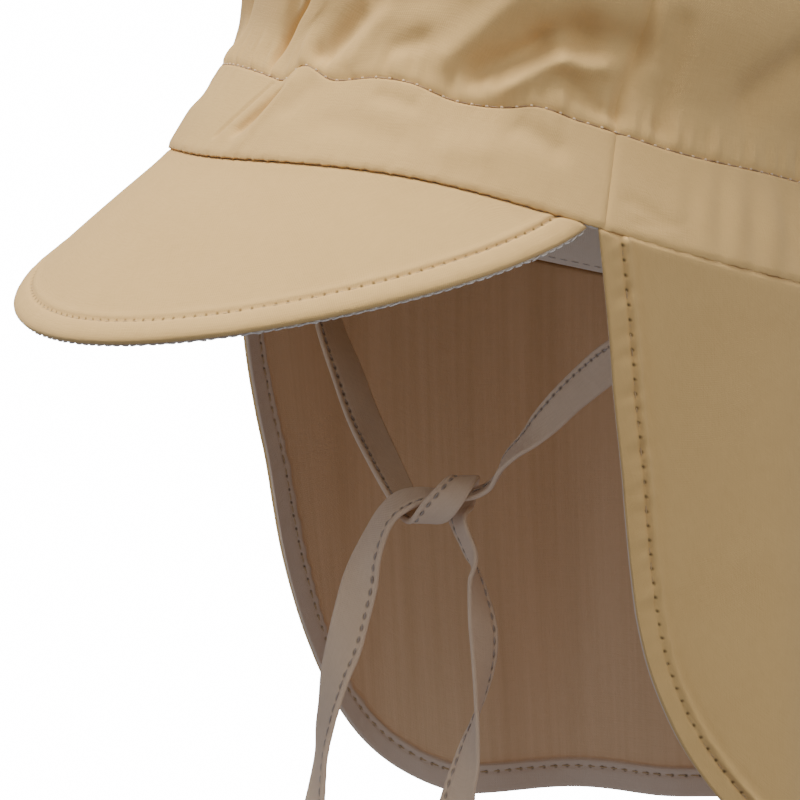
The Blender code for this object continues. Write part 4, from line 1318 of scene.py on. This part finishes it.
def cotton(name, light, dark, inside=None, hem=None, dash=1.0, bump=0.4, sheen=0.08):
    """Plain-weave cotton: colour between dark and light by its yarns, with needle holes.

    A hole is painted dark, as painted shade in its recess, where sqrt((along / dash)^2 + off^2) is
    small, in millimetres.
    """
    finish = bpy.data.materials.new(name)
    finish.use_nodes = True
    tree = finish.node_tree
    shader = tree.nodes["Principled BSDF"]
    start = Wire(tree)

    def pair(title):
        """The two numbers of a map."""
        place = start.node("ShaderNodeUVMap", {"uv_map": title})
        parts = start.node("ShaderNodeSeparateXYZ", None, {0: place}).socket.node
        return Wire(tree, parts.outputs[0]), Wire(tree, parts.outputs[1])

    def streaks(along, across, seed):
        """Noise that is drawn out, with so many cells to the metre each way."""
        place = start.node("ShaderNodeCombineXYZ", None, {0: u * along, 1: v * across, 2: seed})
        return start.node("ShaderNodeTexNoise", None, {"Vector": place, "Scale": 1.0, "Detail": 2.0})

    def clouds(scale):
        return start.node("ShaderNodeTexNoise", None, {"Vector": body, "Scale": scale, "Detail": 3.0})

    u, v = pair("weave")
    body = start.node("ShaderNodeTexCoord", None, None, output=3)
    turns = 2 * math.pi / THREAD_PITCH
    weave = (u * turns).maths("SINE") * (v * turns).maths("SINE")
    slub = (streaks(260, 2600, 0.0) + streaks(2600, 260, 7.0)) * 0.5
    cloud, wear = clouds(55.0), clouds(420.0)
    shade = (slub - 0.5) * 0.9 + (cloud - 0.5) * 0.5 + (wear - 0.5) * 0.35 + 0.5

    gone, off = pair("stitch")
    step = (gone + 0.5).maths("FRACT") - 0.5
    along = step * (2.7 / dash)
    away = (along * along + off * off).maths("SQRT")
    hole = 1 - away.clipped(HOLE_CENTRE, HOLE_RADIUS)

    colour = shade.clipped(0.2, 0.8).mixed(dark, light)
    # Painted light: the inner face is painted warmer and brighter than the cloth outside, for the light
    # that comes through the single layer.
    if inside is not None:
        side = start.node("ShaderNodeAttribute", {"attribute_name": "inside"}, None, output=2)
        # Painted light and shade: drawn-out streaks stand in for the light that comes through the
        # folds.
        hanging = streaks(620, 14, 3.0) * 0.5 + streaks(75, 6, 5.0) * 0.9 + (slub - 0.5) * 0.3
        light_through_inner = (hanging - 0.2).clipped(0.25, 0.75).mixed(inside[0], inside[1])
        # Painted shade: the hem's inner face is greyer and dimmer, as less light comes through the
        # double layer.
        if hem is not None:
            tone = start.node("ShaderNodeAttribute", {"attribute_name": "tone"}, None, output=2)
            light_through_inner = tone.mixed(light_through_inner, hem)
        colour = side.clipped(0.5, 0.75).mixed(colour, light_through_inner)
    # Painted shade: needle holes darken towards a fifth of the dark yarn colour.
    deep = tuple(0.22 * c for c in dark[:3]) + (1.0,)
    colour = (hole * 0.9).mixed(colour, deep)
    height = weave * 0.12 + slub * 0.9 + cloud * 1.2 + wear * 0.5 - hole * 1.5
    normal = start.node(
        "ShaderNodeBump", None, {"Strength": bump, "Distance": 0.00035, "Height": height}
    )

    tree.links.new(colour.socket, shader.inputs["Base Color"])
    tree.links.new(normal.socket, shader.inputs["Normal"])
    shader.inputs["Roughness"].default_value = 0.88
    shader.inputs["Specular IOR Level"].default_value = 0.2
    shader.inputs["Sheen Weight"].default_value = sheen
    shader.inputs["Sheen Roughness"].default_value = 0.45
    print(name, "nodes:", len(tree.nodes))
    return finish


def dress(finish, *pieces):
    """Gives pieces their finish."""
    for piece in pieces:
        piece.data.materials.clear()
        piece.data.materials.append(finish)


SAND_LIGHT = (0.690, 0.440, 0.158, 1)
SAND_DARK = (0.620, 0.385, 0.134, 1)
# The flap's inner face, painted with the warm light that comes through the cloth.
INNER_LIT_THROUGH_LIGHT = (0.860, 0.560, 0.290, 1)
INNER_LIT_THROUGH_DARK = (0.730, 0.455, 0.220, 1)
# Inner face of the hem: painted shade, as less light comes through the double layer.
HEM_PAINTED_SHADE = (0.700, 0.520, 0.340, 1)
TAPE_LIGHT = (0.760, 0.550, 0.340, 1)
TAPE_DARK = (0.680, 0.480, 0.290, 1)
PALE_LIGHT = (0.950, 0.840, 0.640, 1)
PALE_DARK = (0.900, 0.790, 0.590, 1)

sand = cotton("sand_poplin", SAND_LIGHT, SAND_DARK)
light_through_inner = (INNER_LIT_THROUGH_DARK, INNER_LIT_THROUGH_LIGHT)
flap_cotton = cotton("sand_poplin_flap", SAND_LIGHT, SAND_DARK, light_through_inner, HEM_PAINTED_SHADE)
tape_cotton = cotton("tape_poplin", TAPE_LIGHT, TAPE_DARK, dash=2.0)
lining = cotton("pale_lining", PALE_LIGHT, PALE_DARK)
dress(sand, front_band, back_band, peak, *gores)
dress(flap_cotton, flap)
dress(tape_cotton, left_tie, right_tie)
dress(lining, sweatband, underside)

# %% [markdown]
# Sewing thread is twisted from fine strands and has a slight gloss. It is dyed to match each cloth,
# but the thread between band and crown is painted dark in its groove, as painted shade, and light at
# its knots, as a painted highlight.

# %% Thread finish
def thread(name, colour):
    """Twisted thread: brightness by a fine noise, a little smoother than cloth."""
    finish = bpy.data.materials.new(name)
    finish.use_nodes = True
    tree = finish.node_tree
    shader = tree.nodes["Principled BSDF"]
    body = Wire(tree).node("ShaderNodeTexCoord", None, None, output=3)
    strands = body.node("ShaderNodeTexNoise", None, {"Vector": body, "Scale": 5000.0, "Detail": 1.0})
    dark = tuple(0.72 * c for c in colour[:3]) + (1.0,)
    mixed = strands.clipped(0.3, 0.7).mixed(dark, colour)
    relief = {"Strength": 0.4, "Distance": 0.0001, "Height": strands}
    normal = strands.node("ShaderNodeBump", None, relief)
    tree.links.new(mixed.socket, shader.inputs["Base Color"])
    tree.links.new(normal.socket, shader.inputs["Normal"])
    shader.inputs["Roughness"].default_value = 0.6
    shader.inputs["Sheen Weight"].default_value = 0.2
    return finish


dress(thread("sand_thread", (0.60, 0.385, 0.165, 1)), peak_stitches, hem_stitches)
# Painted shade: the seam's thread is much darker than the cloth, for the shade in its groove.
dress(thread("seam_thread_painted_shade", (0.34, 0.20, 0.085, 1)), seam_stitches)
# Painted highlight: the knots of the same thread are lighter than the cloth.
dress(thread("knot_thread_painted_highlight", (0.80, 0.58, 0.33, 1)), seam_knots)
dress(thread("tape_thread", (0.50, 0.375, 0.260, 1)), left_tie_thread, right_tie_thread)
dress(thread("pale_thread", (0.78, 0.70, 0.56, 1)), overlock, lining_stitches)

# %% [markdown]
# ## Studio
# A plain white floor, a wide soft lamp high on the left, a weaker one on the right that brightens
# the near side of the flap, and a dim sky for the shadows. The floor lies well below the hat, which
# is held up as on a head. It glows, because the photograph's ground is whiter than paper under this
# light, as in a studio with its own lamps behind. Light that the floor throws up would wash out the
# shade under the hat, so it lights nothing else.

# %% Studio: floor
FLOOR_HEIGHT = -0.26
FLOOR_SIZE = 30.0
FLOOR_GLOW = 14.0

floor_mesh = bpy.data.meshes.new("floor")
corners = np.array([(-0.5, -0.5), (0.5, -0.5), (0.5, 0.5), (-0.5, 0.5)]) * FLOOR_SIZE
places = np.hstack([corners, np.full((4, 1), FLOOR_HEIGHT)])
floor_mesh.from_pydata(places.tolist(), [], [(0, 1, 2, 3)])
floor = bpy.data.objects.new("floor", floor_mesh)
bpy.context.scene.collection.objects.link(floor)
paper = bpy.data.materials.new("white_paper")
paper.use_nodes = True
paper_shader = paper.node_tree.nodes["Principled BSDF"]
paper_shader.inputs["Base Color"].default_value = (0.93, 0.93, 0.93, 1)
paper_shader.inputs["Roughness"].default_value = 1.0
paper_shader.inputs["Emission Color"].default_value = (1, 1, 1, 1)
paper_shader.inputs["Emission Strength"].default_value = FLOOR_GLOW
floor_mesh.materials.append(paper)
floor.visible_diffuse = False
floor.visible_glossy = False
print("floor at", FLOOR_HEIGHT)

# %% Studio: light
SKY_TOP = 0.50
SKY_BOTTOM = 0.34
SKY_COLOUR = (0.90, 0.99, 1.32, 1)


def window(name, energy, spread, colour, towards):
    """Far, wide lamp in a direction: a sun whose disc is so many degrees wide."""
    lamp = bpy.data.lights.new(name, "SUN")
    lamp.energy = energy
    lamp.angle = math.radians(spread)
    lamp.color = colour
    stand = bpy.data.objects.new(name, lamp)
    bpy.context.scene.collection.objects.link(stand)
    stand.rotation_mode = "QUATERNION"
    stand.rotation_quaternion = towards.normalized().to_track_quat("Z", "Y")


window("key", 5.1, 32.0, (1.0, 0.975, 0.93), back * 0.14 - right * 0.34 + above)
window("fill", 1.1, 60.0, (1.0, 0.975, 0.94), back * 0.6 + right * 0.5 + above * 0.6)

sky = bpy.data.worlds.new("soft_sky")
sky.use_nodes = True
bpy.context.scene.world = sky
tree = sky.node_tree
way = Wire(tree).node("ShaderNodeTexCoord", None, None, output=0)
parts = way.node("ShaderNodeSeparateXYZ", None, {0: way}).socket.node
height = Wire(tree, parts.outputs[2])
strength = height.clipped(-0.3, 0.6) * (SKY_TOP - SKY_BOTTOM) + SKY_BOTTOM
tree.links.new(strength.socket, tree.nodes["Background"].inputs["Strength"])
tree.nodes["Background"].inputs["Color"].default_value = SKY_COLOUR
